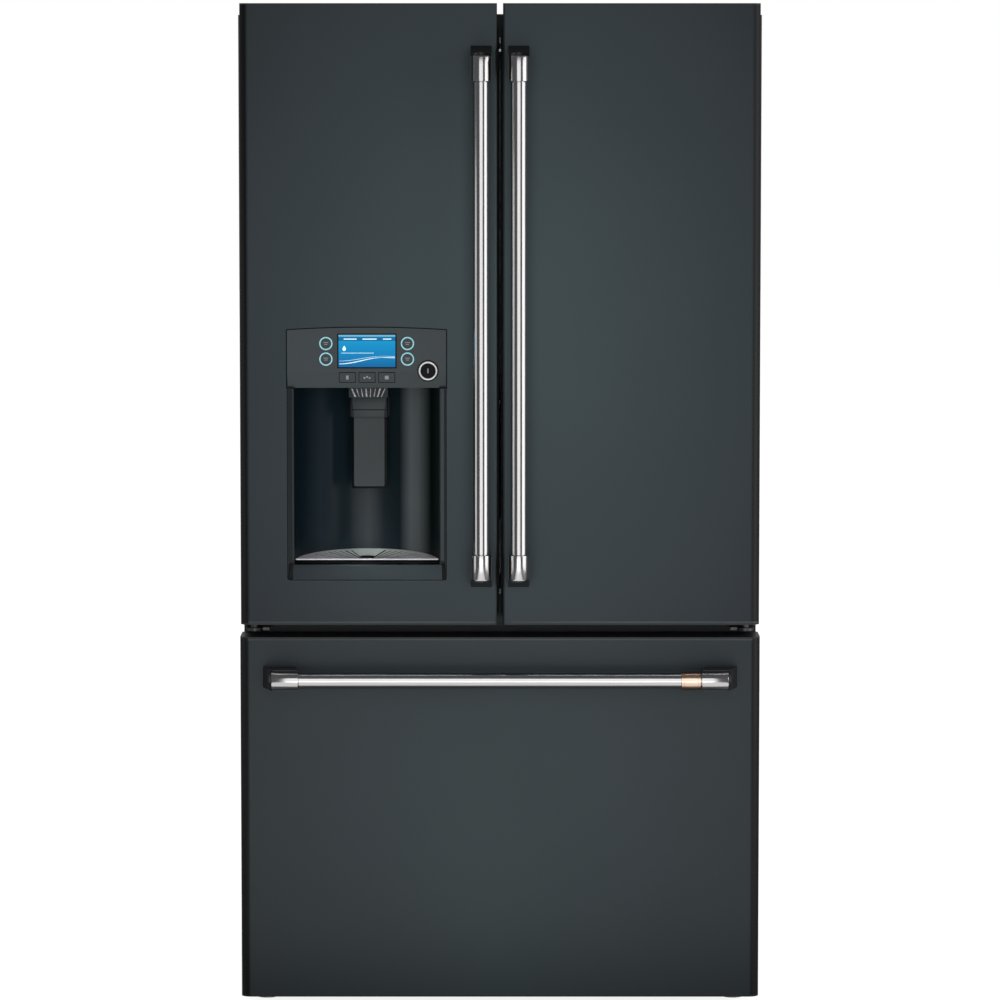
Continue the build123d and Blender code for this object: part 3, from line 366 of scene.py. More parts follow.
def bar_handle(node, body, axis, sleeve, steel):
    """A bar with its two end sleeves, in the place of the frame's plain one."""
    low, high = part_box(node)
    along = "XYZ".index(axis)
    start = (low + high) / 2
    start[along] = low[along]
    length = high[along] - low[along]
    grip = length - 2 * sleeve
    bar_profile = [(spigot, sleeve - 0.002), (spigot, sleeve + seam),
                   (grip_radius - 0.0006, sleeve + seam), (grip_radius, sleeve + seam + 0.0006),
                   (grip_radius, sleeve + grip - seam - 0.0006),
                   (grip_radius - 0.0006, sleeve + grip - seam),
                   (spigot, sleeve + grip - seam), (spigot, sleeve + grip + 0.002)]
    bar = turned(bar_profile, start, axis, 96)
    finish_piece(bar, node + "_grip", body, steel)
    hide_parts(node)
    lower = [(sleeve_radius - 2 * bevel, 0), (sleeve_radius - 0.4 * bevel, bevel * 0.5),
             (sleeve_radius, 1.6 * bevel), (sleeve_radius, sleeve - 0.0006),
             (sleeve_radius - 0.0006, sleeve), (spigot + 0.0004, sleeve),
             (spigot + 0.0004, sleeve - 0.0018)]
    upper = [(radius, length - place) for radius, place in lower]
    for side, profile in (("first", lower), ("second", upper)):
        end = turned(profile, start, axis, 96)
        finish_piece(end, f"{node}_{side}_sleeve", body, steel)
        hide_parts(node)


bar_handle("left_handle_bar", "left_door", "Z", 0.0445, steel_upright)
bar_handle("right_handle_bar", "right_door", "Z", 0.0445, steel_upright)
bar_handle("drawer_handle_bar", "freezer_drawer", "X", 0.047, steel_cross)
for part in ("left_handle_posts", "right_handle_posts", "drawer_handle_posts"):
    dress(part, post_black)


# ---- copper band ----
# One turned band of copper-coloured steel sits on the drawer's bar beside its right sleeve, with a
# thin groove near each edge and softened corners.
band_low, band_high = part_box("copper_band")
band_length = band_high.x - band_low.x
band_radius = (band_high.z - band_low.z) / 2
band_profile = [(grip_radius + 0.0001, 0.0002), (band_radius - 0.0008, 0), (band_radius, 0.0008)]
for groove in (0.004, band_length - 0.0055):
    band_profile += [(band_radius, groove), (band_radius - 0.0008, groove + 0.0002),
                     (band_radius - 0.0008, groove + 0.0013), (band_radius, groove + 0.0015)]
band_profile += [(band_radius, band_length - 0.0008), (band_radius - 0.0008, band_length),
                 (grip_radius + 0.0001, band_length - 0.0002)]
band_start = (band_low + band_high) / 2
band_start.x = band_low.x
band = turned(band_profile, band_start, "X", 96)
copper = new_finish("brushed_copper", (0.80, 0.48, 0.31), 0.22, 1.0)
copper_lines = pattern(copper, "ShaderNodeTexNoise", 420, (12, 0.4, 0.4))
tint(copper, copper_lines, (0.90, 0.60, 0.44), (0.98, 0.76, 0.62))
# Painted shade: the colour turns deep red-brown where the band's surface turns away from the view.
flank = copper.node_tree.nodes.new("ShaderNodeLayerWeight")
flank.inputs["Blend"].default_value = 0.42
painted_flank_shade = copper.node_tree.nodes.new("ShaderNodeMix")
painted_flank_shade.data_type = "RGBA"
painted_flank_shade.inputs["B"].default_value = (0.34, 0.13, 0.05, 1)
copper.node_tree.links.new(flank.outputs["Facing"], painted_flank_shade.inputs["Factor"])
copper.node_tree.links.new(copper.node_tree.nodes["Color Ramp"].outputs["Color"], painted_flank_shade.inputs["A"])
copper.node_tree.links.new(painted_flank_shade.outputs["Result"],
                           copper.node_tree.nodes["Principled BSDF"].inputs["Base Color"])
roughen(copper, copper_lines, 0.16, 0.28)
emboss(copper, copper_lines, 0.1, 0.0002)
finish_piece(band, "copper_band_ring", "freezer_drawer", copper)
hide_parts("copper_band")


# ---- dispenser housing ----
# One gloss black moulding lines the recess. It holds the nozzle and the paddle's pin. Its concave wall carries
# long soft streaks, a painted reflection of the room in bands of colour across the recess.
gloss_black = noise_finish("gloss_black", (0.002, 0.003, 0.004), (0.004, 0.005, 0.006),
                           (0.2, 0.28), 0.0, 30, 0.0001)
gloss_black.node_tree.nodes["Principled BSDF"].inputs["Specular IOR Level"].default_value = 0.1
house_low, house_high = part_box("dispenser_housing")
recess_black_painted_reflections = new_finish("recess_black_painted_reflections", (0.004, 0.008, 0.010), 0.3)
recess_black_painted_reflections.node_tree.nodes["Principled BSDF"].inputs["Specular IOR Level"].default_value = 0.2
house_wide = house_high.x - house_low.x
across = pattern(recess_black_painted_reflections, "ShaderNodeTexGradient", 1, (1 / house_wide, 1, 1))
recess_black_painted_reflections.node_tree.nodes["Mapping"].inputs["Location"].default_value = (-house_low.x / house_wide, 0, 0)
tint(recess_black_painted_reflections, across, (0.002, 0.006, 0.008), (0.002, 0.006, 0.006), 0.0, 1.0)
# Painted reflection: lighter and darker bands across the recess stand for the room mirrored in the wall.
painted_reflection_streaks = ((0.10, (0.006, 0.014, 0.020)), (0.20, (0.020, 0.033, 0.044)), (0.27, (0.010, 0.021, 0.029)),
           (0.38, (0.006, 0.017, 0.024)), (0.50, (0.046, 0.060, 0.066)), (0.60, (0.014, 0.026, 0.033)),
           (0.70, (0.010, 0.020, 0.026)), (0.77, (0.150, 0.172, 0.180)), (0.82, (0.130, 0.152, 0.158)),
           (0.90, (0.002, 0.007, 0.007)))
painted_reflection_bands = recess_black_painted_reflections.node_tree.nodes["Color Ramp"].color_ramp
for place, colour in painted_reflection_streaks:
    painted_reflection_bands.elements.new(place).color = (*colour, 1)
dress("dispenser_housing", recess_black_painted_reflections)
panel_low, panel_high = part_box("control_panel")
door_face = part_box("left_door_skin")[0].y


# ---- dispenser trim ----
# The lip under the tray and the slim fins beside the recess are slate-coated like the door. The lip
# stands a little in front of the black housing, between two black end bars that flare at their tops.
def pull(piece, chosen, shift=(0, 0, 0), stretch=(1, 1, 1), about=(0, 0, 0)):
    """Moves the points that a test picks out, then draws them in or out about a centre."""
    clear_selection()
    piece.select_set(True)
    bpy.context.view_layer.objects.active = piece
    bpy.ops.object.mode_set(mode="EDIT")
    bpy.ops.mesh.select_mode(type="VERT")
    bpy.ops.mesh.select_all(action="DESELECT")
    bpy.ops.object.mode_set(mode="OBJECT")
    for vertex in piece.data.vertices:
        vertex.select = chosen(vertex.co)
    bpy.ops.object.mode_set(mode="EDIT")
    bpy.ops.transform.translate(value=shift)
    bpy.ops.transform.resize(value=stretch, center_override=about)
    bpy.ops.object.mode_set(mode="OBJECT")


lip_top = house_low.z + 0.0275
lip_start = house_low.x + 0.0082
lip_end = house_high.x - 0.0068
lip = bevelled_block((lip_start, door_face - 0.0012, house_low.z + 0.0002),
                     (lip_end, house_low.y + 0.002, lip_top), 0.0011)
finish_piece(lip, "dispenser_lip", "left_door", slate)
for side, x0, x1, lean in (("left", house_low.x + 0.0004, lip_start - 0.0004, 0.0022),
                           ("right", lip_end + 0.0004, house_high.x - 0.0004, -0.0022)):
    bar = bevelled_block((x0, door_face - 0.0016, house_low.z + 0.0003),
                         (x1, house_low.y + 0.002, lip_top + 0.0015), 0.0009)
    pull(bar, lambda point: point.z > lip_top - 0.004, shift=(lean, 0, 0))
    finish_piece(bar, f"dispenser_{side}_end_bar", "left_door", gloss_black)
fin_low = lip_top + 0.006
for side, x0, x1 in (("left", house_low.x + 0.0078, house_low.x + 0.0108),
                     ("right", house_high.x - 0.0108, house_high.x - 0.0034)):
    fin = bevelled_block((x0, door_face - 0.0004, fin_low), (x1, house_low.y + 0.002, panel_low.z - 0.0006),
                         0.0008)
    finish_piece(fin, f"dispenser_{side}_fin", "left_door", slate)


# ---- nozzle ----
# The water and ice outlet ends in a comb of bright ribs above the paddle's shroud.
nozzle_metal = noise_finish("nozzle_metal", (0.10, 0.10, 0.11), (0.42, 0.42, 0.43), (0.2, 0.34), 0.8,
                            160, 0.0001)
paddle_low, paddle_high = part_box("dispenser_paddle")
paddle_x = (paddle_low.x + paddle_high.x) / 2
nozzle_front = door_face + 0.016
rib_count = 8
for index in range(rib_count):
    rib_x = paddle_x - 0.029 + index * 0.058 / (rib_count - 1)
    rib_width = 0.0028 if index % 3 else 0.0045
    rib = bevelled_block((rib_x - rib_width / 2, nozzle_front - 0.004, panel_low.z - 0.0165),
                         (rib_x + rib_width / 2, nozzle_front + 0.001, panel_low.z - 0.0006), 0.0009, 2)
    pull(rib, lambda point: point.z < panel_low.z - 0.012, shift=((paddle_x - rib_x) * 0.22, 0, 0))
    finish_piece(rib, f"nozzle_rib_{index + 1}", "left_door", nozzle_metal)


# ---- paddle and shroud ----
# The shroud over the paddle's pin is a tapered moulding, and the paddle below it a plain plate with
# rounded corners. Both are satin dark grey. Black cheeks beside the shroud and a black plate a little
# larger than the paddle, just behind it, are painted shadow: the dark outline of the recess round them.
paddle_grey = noise_finish("paddle_grey", (0.026, 0.036, 0.040), (0.036, 0.048, 0.053),
                           (0.38, 0.48), 0.1, 800, 0.0001)
dress("dispenser_paddle", paddle_grey)
shroud_top = panel_low.z - 0.0175
shroud_low = paddle_high.z - 0.012
shroud_front = paddle_low.y - 0.012
shroud = bevelled_block((paddle_x - 0.031, shroud_front, shroud_low),
                        (paddle_x + 0.031, paddle_low.y - 0.0045, shroud_top), 0.0015)
pull(shroud, lambda point: point.z < shroud_low + 0.002, stretch=(0.88, 1, 1), about=(paddle_x, 0, 0))
finish_piece(shroud, "paddle_shroud", "left_door", paddle_grey)
groove = bevelled_block((paddle_x - 0.0296, shroud_front - 0.0003, shroud_low + 0.0125),
                        (paddle_x + 0.0296, shroud_front + 0.0004, shroud_low + 0.0140), 0.0003, 2)
finish_piece(groove, "shroud_groove", "left_door", gloss_black)
# Painted shadow: black cheeks beside the shroud stand for the dark gaps there.
for side, x0, x1 in (("left", -0.0345, -0.0313), ("right", 0.0313, 0.0365)):
    shadow_cheek = bevelled_block((paddle_x + x0, shroud_front + 0.003, shroud_low + 0.002),
                           (paddle_x + x1, shroud_front + 0.012, shroud_top), 0.001, 2)
    finish_piece(shadow_cheek, f"shroud_{side}_cheek", "left_door", gloss_black)
# Painted shadow: a black plate behind the paddle shows round its sides and foot as the dark recess.
rim = bevelled_block((paddle_low.x + 0.0032 - 0.0042, paddle_low.y + 0.0014, paddle_low.z - 0.0038),
                     (paddle_high.x - 0.0032 + 0.0055, paddle_low.y + 0.0040, shroud_low - 0.0022),
                     0.0012, 2)
finish_piece(rim, "paddle_shadow_plate", "paddle", gloss_black)


# ---- drip tray ----
# The tray is a lift-out disc segment in brushed steel. It rises a little to the back, its rim follows
# the round wall, and it has radial slots at both sides of one dark oval drain.
tray_steel = noise_finish("tray_steel", (0.80, 0.79, 0.80), (0.94, 0.93, 0.94), (0.30, 0.44), 0.1,
                          90, 0.0002, (7, 1, 1))
tray_low, tray_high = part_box("drip_tray")
tray_x = (tray_low.x + tray_high.x) / 2
tray_half = (tray_high.x - tray_low.x) / 2
tray_deep = tray_high.y - tray_low.y
tray_arc = tray_half ** 2 / (2 * tray_deep) + tray_deep / 2
hub = Vector((tray_x, tray_high.y - tray_arc, 0))
tray_front = tray_low.y + 0.0008
tray_edge_z = house_low.z + 0.0369
tray_rise = math.atan2(0.0085, tray_deep)
slot_count = 16
slot_deep = 0.02
slot_floor = -0.0024
slot_head = -0.0009


def tip_up(piece):
    """Turns a piece about the tray's front edge, so that it rises to the back."""
    clear_selection()
    piece.select_set(True)
    bpy.context.view_layer.objects.active = piece
    bpy.ops.object.mode_set(mode="EDIT")
    bpy.ops.mesh.select_all(action="SELECT")
    bpy.ops.transform.rotate(value=-tray_rise, orient_axis="X", center_override=(0, tray_front, tray_edge_z))
    bpy.ops.object.mode_set(mode="OBJECT")


clear_selection()
bpy.ops.mesh.primitive_circle_add(vertices=160, radius=tray_arc - 0.0012, fill_type="NGON",
                                  location=(hub.x, hub.y, tray_edge_z))
tray = bpy.context.object
bpy.ops.object.transform_apply(location=True, rotation=True, scale=True)
bpy.ops.object.mode_set(mode="EDIT")
bpy.ops.mesh.select_all(action="SELECT")
bpy.ops.mesh.bisect(plane_co=(0, tray_front, 0), plane_no=(0, 1, 0), clear_inner=True, use_fill=False)
bpy.ops.mesh.select_all(action="SELECT")
bpy.ops.mesh.inset(thickness=0.0035, depth=-0.0007)
bpy.ops.mesh.select_all(action="SELECT")
bpy.ops.mesh.extrude_region_move(TRANSFORM_OT_translate={"value": (0, 0, -0.0018)})
bpy.ops.mesh.select_all(action="SELECT")
bpy.ops.mesh.normals_make_consistent(inside=False)
bpy.ops.object.mode_set(mode="OBJECT")
beds = []
for index in range(slot_count):
    side = -1 if index < slot_count / 2 else 1
    spread = 15.0 + (index % (slot_count // 2)) * 5.4
    angle = math.radians(90 + side * spread)
    reach = (tray_front - hub.y + 0.006) / math.cos(math.radians(spread))
    far = tray_arc - 0.011
    middle = (reach + far) / 2
    clear_selection()
    bpy.ops.mesh.primitive_cube_add(size=1, location=(hub.x + middle * math.cos(angle),
                                                      hub.y + middle * math.sin(angle), tray_edge_z),
                                    rotation=(0, 0, angle))
    slot = bpy.context.object
    slot.scale = (max(far - reach, 0.01), 0.0024 if index % 3 else 0.0034, slot_deep)
    bpy.ops.object.transform_apply(location=True, rotation=True, scale=True)
    tray.select_set(True)
    bpy.context.view_layer.objects.active = tray
    cut = tray.modifiers.new("slot", "BOOLEAN")
    cut.object = slot
    cut.operation = "DIFFERENCE"
    bpy.ops.object.modifier_apply(modifier=cut.name)
    pull(slot, lambda point: True, shift=(0, 0, (slot_floor + slot_head) / 2),
         stretch=(1, 1, (slot_head - slot_floor) / slot_deep),
         about=(0, 0, tray_edge_z + (slot_floor + slot_head) / 2))
    beds.append(slot)
clear_selection()
for slot in beds:
    slot.select_set(True)
bpy.context.view_layer.objects.active = beds[0]
bpy.ops.object.join()
tip_up(beds[0])
finish_piece(beds[0], "tray_slot_beds", "left_door", gloss_black)
tip_up(tray)
finish_piece(tray, "drip_tray_plate", "left_door", tray_steel)
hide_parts("drip_tray")
drain = turned([(0.0125, 0), (0.0135, 0.0012), (0.0128, 0.0020), (0.0105, 0.0020), (0.0102, 0.0010)],
               (tray_x, tray_front + 0.018, tray_edge_z + 0.0008), "Z", 40)
finish_piece(drain, "tray_drain", "left_door", gloss_black)
under = turned([(tray_arc - 0.0014, 0), (tray_arc - 0.0014, 0.002)], (hub.x, hub.y, tray_edge_z - 0.0075),
               "Z", 120)
clear_selection()
under.select_set(True)
bpy.context.view_layer.objects.active = under
bpy.ops.object.mode_set(mode="EDIT")
bpy.ops.mesh.select_all(action="SELECT")
bpy.ops.mesh.bisect(plane_co=(0, tray_front, 0), plane_no=(0, 1, 0), clear_inner=True, use_fill=True)
bpy.ops.mesh.select_all(action="SELECT")
bpy.ops.mesh.bevel(offset=0.0003, segments=2, affect="EDGES")
bpy.ops.object.mode_set(mode="OBJECT")
finish_piece(under, "tray_sump", "left_door", gloss_black)


# ---- control panel ----
# The panel over the recess is moulded in the door's slate colour. It carries the screen, four touch
# rings, three flat keys and the hot water button.
panel_slate = noise_finish("panel_slate", (0.032, 0.044, 0.049), (0.041, 0.055, 0.060),
                           (0.34, 0.42), 0.2, 1200, 0.00005)
dress("control_panel", panel_slate)
for part in ("water_key", "crushed_ice_key", "cubed_ice_key"):
    dress(part, panel_slate)
panel_face = panel_low.y + 0.0012


def lit_finish(name, colour, roughness, glow, strength):
    """A finish that gives off light of its own."""
    finish = new_finish(name, colour, roughness)
    shader = finish.node_tree.nodes["Principled BSDF"]
    shader.inputs["Emission Color"].default_value = (*glow, 1)
    shader.inputs["Emission Strength"].default_value = strength
    return finish


cyan_ring = lit_finish("cyan_ring", (0.30, 0.66, 0.76), 0.4, (0.35, 0.75, 0.85), 0.35)
ring_glow = pattern(cyan_ring, "ShaderNodeTexNoise", 500)
tint(cyan_ring, ring_glow, (0.24, 0.58, 0.68), (0.40, 0.76, 0.84))
mark_grey = noise_finish("mark_grey", (0.30, 0.34, 0.36), (0.42, 0.46, 0.48), (0.5, 0.6), 0.0, 800, 0.00002)


def flat_ring(name, centre, outer, width, depth, body, finish):
    """A thin ring lying in a front face."""
    clear_selection()
    bpy.ops.mesh.primitive_torus_add(location=centre, rotation=(math.pi / 2, 0, 0),
                                     major_radius=outer - width / 2, minor_radius=width / 2,
                                     major_segments=72, minor_segments=10)
    ring = bpy.context.object
    bpy.ops.object.transform_apply(location=True, rotation=True, scale=True)
    bpy.ops.object.mode_set(mode="EDIT")
    bpy.ops.mesh.select_all(action="SELECT")
    bpy.ops.transform.resize(value=(1, depth / width, 1), center_override=centre)
    bpy.ops.object.mode_set(mode="OBJECT")
    return finish_piece(ring, name, body, finish)


ring_x = (-0.302, -0.1605)
ring_z = (1.173, 1.146)
for column, x in enumerate(ring_x):
    for row, z in enumerate(ring_z):
        name = f"touch_ring_{column * 2 + row + 1}"
        flat_ring(name, (x, panel_face, z), 0.0115, 0.0022, 0.0006, "left_door", cyan_ring)
        for bar_row in (0.0016, -0.0016):
            half = 0.0042 if bar_row > 0 else 0.0028
            mark = bevelled_block((x - half, panel_face - 0.0002, z + bar_row - 0.0007),
                                  (x + half, panel_face + 0.0002, z + bar_row + 0.0007), 0.0001, 1)
            finish_piece(mark, f"{name}_mark_{1 if bar_row > 0 else 2}", "left_door",
                         mark_grey)


# ---- screen ----
# The colour screen sits behind a black border. It glows blue, lighter towards the top, with a menu line,
# a drop symbol and two rising waves.
screen_low, screen_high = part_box("display_screen")
screen_width = screen_high.x - screen_low.x
screen_height = screen_high.z - screen_low.z
screen_blue = new_finish("screen_blue", (0.01, 0.02, 0.04), 0.25)
nodes, links = screen_blue.node_tree.nodes, screen_blue.node_tree.links
spot = nodes.new("ShaderNodeTexCoord")
mapping = nodes.new("ShaderNodeMapping")
mapping.inputs["Location"].default_value = (0, 0, -screen_low.z / screen_height)
mapping.inputs["Scale"].default_value = (1, 1, 1 / screen_height)
split = nodes.new("ShaderNodeSeparateXYZ")
blues = nodes.new("ShaderNodeValToRGB")
shades = ((0.0, (0.0, 0.13, 0.34)), (0.3, (0.0, 0.22, 0.50)), (0.7, (0.0, 0.29, 0.60)),
          (0.8, (0.005, 0.32, 0.63)), (0.82, (0.0, 0.15, 0.34)), (0.93, (0.0, 0.16, 0.36)),
          (0.95, (0.13, 0.46, 0.70)), (1.0, (0.20, 0.52, 0.74)))
while len(blues.color_ramp.elements) < len(shades):
    blues.color_ramp.elements.new(0.5)
for stop, (place, colour) in zip(blues.color_ramp.elements, shades):
    stop.position = place
for stop, (place, colour) in zip(blues.color_ramp.elements, shades):
    stop.color = (*colour, 1)
links.new(spot.outputs["Object"], mapping.inputs["Vector"])
links.new(mapping.outputs["Vector"], split.inputs["Vector"])
links.new(split.outputs["Z"], blues.inputs["Fac"])
links.new(blues.outputs["Color"], nodes["Principled BSDF"].inputs["Emission Color"])
nodes["Principled BSDF"].inputs["Emission Strength"].default_value = 0.95
nodes["Principled BSDF"].inputs["Specular IOR Level"].default_value = 0.08
dress("display_screen", screen_blue)
screen_face = screen_low.y
white_light = lit_finish("screen_white", (0.7, 0.9, 1.0), 0.4, (0.75, 0.93, 1.0), 0.7)
light_grain = pattern(white_light, "ShaderNodeTexNoise", 300)
tint(white_light, light_grain, (0.6, 0.85, 1.0), (0.85, 0.97, 1.0))
border = 0.0022
for name, x0, x1, z0, z1 in (
        ("screen_border_top", -border, screen_width + border, screen_height, screen_height + border),
        ("screen_border_foot", -border, screen_width + border, -border, 0),
        ("screen_border_left", -border, 0, 0, screen_height),
        ("screen_border_right", screen_width, screen_width + border, 0, screen_height)):
    edge = bevelled_block((screen_low.x + x0, screen_face - 0.0004, screen_low.z + z0),
                          (screen_low.x + x1, screen_face + 0.0001, screen_low.z + z1), 0.0001, 1)
    finish_piece(edge, name, "left_door", gloss_black)
for index, (start, width) in enumerate(((0.09, 0.23), (0.42, 0.25), (0.78, 0.15))):
    menu = bevelled_block(
        (screen_low.x + start * screen_width, screen_face - 0.0002, screen_low.z + 0.855 * screen_height),
        (screen_low.x + (start + width) * screen_width, screen_face, screen_low.z + 0.885 * screen_height),
        0.00008, 1)
    finish_piece(menu, f"menu_mark_{index + 1}", "left_door", white_light)
underline = bevelled_block(
    (screen_low.x + 0.05 * screen_width, screen_face - 0.0002, screen_low.z + 0.43 * screen_height),
    (screen_low.x + 0.62 * screen_width, screen_face, screen_low.z + 0.443 * screen_height), 0.00005, 1)
finish_piece(underline, "title_underline", "left_door", white_light)
drop_x = screen_low.x + 0.1 * screen_width
drop_z = screen_low.z + 0.56 * screen_height
drop = turned([(0.0001, 0), (0.0030, 0.00005), (0.0030, 0.0001)], (drop_x, screen_face - 0.0002, drop_z), "Y",
              32)
for height, narrow in ((0.0008, 0.85), (0.0018, 0.75), (0.0027, 0.6)):
    pull(drop, lambda point: point.z > drop_z + height, stretch=(narrow, 1, 1), about=(drop_x, 0, 0))
pull(drop, lambda point: point.z > drop_z, stretch=(1, 1, 1.9), about=(0, 0, drop_z))
finish_piece(drop, "drop_symbol", "left_door", white_light)


def ribbon(points, face, depth):
    """A thin strip drawn out along a line of points: each one its place (x, z) and the height there."""
    (x, z, tall), (next_x, next_z, next_tall) = points[:2]
    clear_selection()
    bpy.ops.mesh.primitive_plane_add(size=1, location=((x + next_x) / 2, face, z),
                                     rotation=(math.pi / 2, 0, 0))
    strip = bpy.context.object
    strip.scale = (next_x - x, tall, 1)
    bpy.ops.object.transform_apply(location=True, rotation=True, scale=True)
    pull(strip, lambda point: point.x > (x + next_x) / 2, shift=(0, 0, next_z - z),
         stretch=(1, 1, next_tall / tall), about=(0, 0, next_z))
    bpy.ops.object.mode_set(mode="EDIT")
    x, z, tall = next_x, next_z, next_tall
    for next_x, next_z, next_tall in points[2:]:
        bpy.ops.mesh.extrude_region_move(TRANSFORM_OT_translate={"value": (next_x - x, 0, next_z - z)})
        bpy.ops.transform.resize(value=(1, 1, next_tall / tall), center_override=(0, 0, next_z))
        x, z, tall = next_x, next_z, next_tall
    bpy.ops.mesh.select_all(action="SELECT")
    bpy.ops.mesh.normals_make_consistent(inside=False)
    bpy.ops.object.mode_set(mode="OBJECT")
    strip.modifiers.new("depth", "SOLIDIFY").thickness = depth
    strip.modifiers["depth"].offset = 0
    bpy.ops.object.modifier_apply(modifier="depth")
    return strip


steps = 48


def wave(name, base, lift, width):
    """A thin line of light that rises across the screen."""
    points = []
    for step in range(steps + 1):
        part = step / steps
        tall = width * (0.35 + 0.65 * abs(math.sin(math.pi * (part * 1.2 + 0.1))))
        curve = base + lift * (0.5 - 0.5 * math.cos(math.pi * min(1, part * 1.25))) - 0.05 * max(0, part - 0.8)
        points.append((screen_low.x + screen_width * (0.01 + 0.98 * part),
                       screen_low.z + screen_height * curve, tall))
    line = ribbon(points, screen_face - 0.00015, 0.0002)
    finish_piece(line, name, "left_door", white_light)


wave("wave_bright", 0.10, 0.20, 0.0014)
wave("wave_faint", 0.19, 0.15, 0.0006)


# ---- hot water button ----
# A round gloss button in a bright ring, proud of the panel.
dress("hot_water_button", gloss_black)
button_low, button_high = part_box("hot_water_button")
button_centre = (button_low + button_high) / 2
ring_white = new_finish("ring_white", (0.80, 0.80, 0.78), 0.3, 0.6)
ring_grain = pattern(ring_white, "ShaderNodeTexNoise", 500)
tint(ring_white, ring_grain, (0.70, 0.70, 0.68), (0.86, 0.86, 0.84))
flat_ring("hot_water_ring", (button_centre.x, panel_low.y, button_centre.z), 0.0165, 0.0034, 0.0012,
          "left_door", ring_white)
flat_ring("hot_water_surround", (button_centre.x, panel_low.y + 0.0002, button_centre.z), 0.0184, 0.0022,
          0.001, "left_door", gloss_black)
steam = bevelled_block((button_centre.x - 0.0012, button_low.y - 0.0002, button_centre.z - 0.004),
                       (button_centre.x + 0.0012, button_low.y + 0.0002, button_centre.z + 0.004), 0.00015, 1)
finish_piece(steam, "hot_water_mark", "hot_water_knob", mark_grey)


# ---- key symbols ----
# Each flat key carries a small printed symbol: a drop, chips and a cube.
slope = math.atan2(0.008, 0.027)
key_middle = 0.0081
key_set_back = 0.00237
for node, body, spots in (
        ("water_key", "water_push", ((0, 0, 0.0022, 0.0036),)),
        ("crushed_ice_key", "crushed_ice_push",
         ((-0.0045, -0.0008, 0.0016, 0.0016), (0, 0.0012, 0.0016, 0.0016), (0.0045, -0.0008, 0.0016, 0.0016))),
        ("cubed_ice_key", "cubed_ice_push", ((0, 0, 0.0034, 0.0034),))):
    key_low, key_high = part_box(node)
    key_x = (key_low.x + key_high.x) / 2
    key_z = key_low.z + key_middle
    key_y = key_low.y + key_set_back
    for number, (dx, dz, half_wide, half_tall) in enumerate(spots):
        symbol = bevelled_block((-half_wide, -0.0003, -half_tall), (half_wide, 0.0003, half_tall), 0.0001, 1)
        symbol.rotation_euler = (slope, 0, 0)
        symbol.location = (key_x + dx, key_y + dz * math.tan(-slope), key_z + dz)
        finish_piece(symbol, f"{node}_symbol_{number + 1}", body, mark_grey)

    clear_selection()
    bpy.ops.mesh.primitive_plane_add(size=1, location=(0, 0, 0), rotation=(math.pi / 2, 0, 0))
    outline = bpy.context.object
    outline.scale = (0.0292, 0.0192, 1)
    bpy.ops.object.transform_apply(location=True, rotation=True, scale=True)
    bpy.ops.object.mode_set(mode="EDIT")
    bpy.ops.mesh.select_all(action="SELECT")
    bpy.ops.mesh.inset(thickness=0.0009)
    bpy.ops.mesh.delete(type="FACE")
    bpy.ops.object.mode_set(mode="OBJECT")
    outline.modifiers.new("depth", "SOLIDIFY").thickness = 0.0006
    outline.modifiers["depth"].offset = 0
    bpy.ops.object.modifier_apply(modifier="depth")
    outline.rotation_euler = (slope, 0, 0)
    outline.location = (key_x, key_y + 0.00035, key_z)
    finish_piece(outline, f"{node}_outline", "left_door", gloss_black)


# ---- panel edge ----
# A thin black strip shows all round the control panel, painted shade for its shadow gap: over its arched top
# and down both sides.
arch_rise = 0.0045
shadow_gap_tall = 0.0016
panel_x = (panel_low.x + panel_high.x) / 2
arch = []
for step in range(steps + 1):
    part = 2 * step / steps - 1
    arch.append((panel_x + part * (panel_high.x - panel_low.x) / 2,
                 panel_high.z - arch_rise * part ** 2 + 0.0009, shadow_gap_tall))
# Painted shade: the black strip over the arched top stands for the shadow gap there.
gasket = ribbon(arch, door_face - 0.0003, 0.0008)
finish_piece(gasket, "panel_shadow_gap_top", "left_door", gloss_black)
# Painted shade: black strips down both sides stand for the shadow gap there.
for side, x0, x1 in (("left", panel_low.x - 0.0018, panel_low.x - 0.0001),
                     ("right", panel_high.x + 0.0001, panel_high.x + 0.0018)):
    strip = bevelled_block((x0, door_face - 0.0007, panel_low.z - 0.001),
                           (x1, door_face + 0.001, panel_high.z - arch_rise + 0.0016), 0.0003, 2)
    finish_piece(strip, f"panel_shadow_gap_{side}", "left_door", gloss_black)


# ---- shelf trims ----
# Each glass shelf sits in a white moulded frame: a rounded bar along its front edge and a lower one
# along its back. The wide pane over the crispers has the same front bar.
white_trim = noise_finish("white_trim", (0.70, 0.73, 0.74), (0.80, 0.83, 0.84), (0.3, 0.42), 0.0, 500, 0.00005)
shelf_low, shelf_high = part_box("glass_shelves")
shelf_inner_x = 0.008
shelf_outer_x = 0.388
for level, shelf_z in (("upper", 1.470), ("middle", 1.260)):
    for side, sign in (("left", -1), ("right", 1)):
        x0, x1 = sorted((sign * shelf_inner_x, sign * shelf_outer_x))
        front = bevelled_block((x0, shelf_low.y - 0.008, shelf_z - 0.0115),
                               (x1, shelf_low.y + 0.010, shelf_z + 0.0035), 0.004, 4)
        finish_piece(front, f"{level}_{side}_shelf_front", "cabinet", white_trim)
        rear = bevelled_block((x0 + 0.022, shelf_high.y - 0.014, shelf_z - 0.003),
                              (x1 - 0.022, shelf_high.y + 0.003, shelf_z + 0.011), 0.003, 3)
        finish_piece(rear, f"{level}_{side}_shelf_rear", "cabinet", white_trim)
cover_bar = bevelled_block((-0.390, shelf_low.y - 0.006, 1.0495), (0.390, shelf_low.y + 0.012, 1.0595),
                           0.003, 4)
finish_piece(cover_bar, "crisper_cover_front", "cabinet", white_trim)


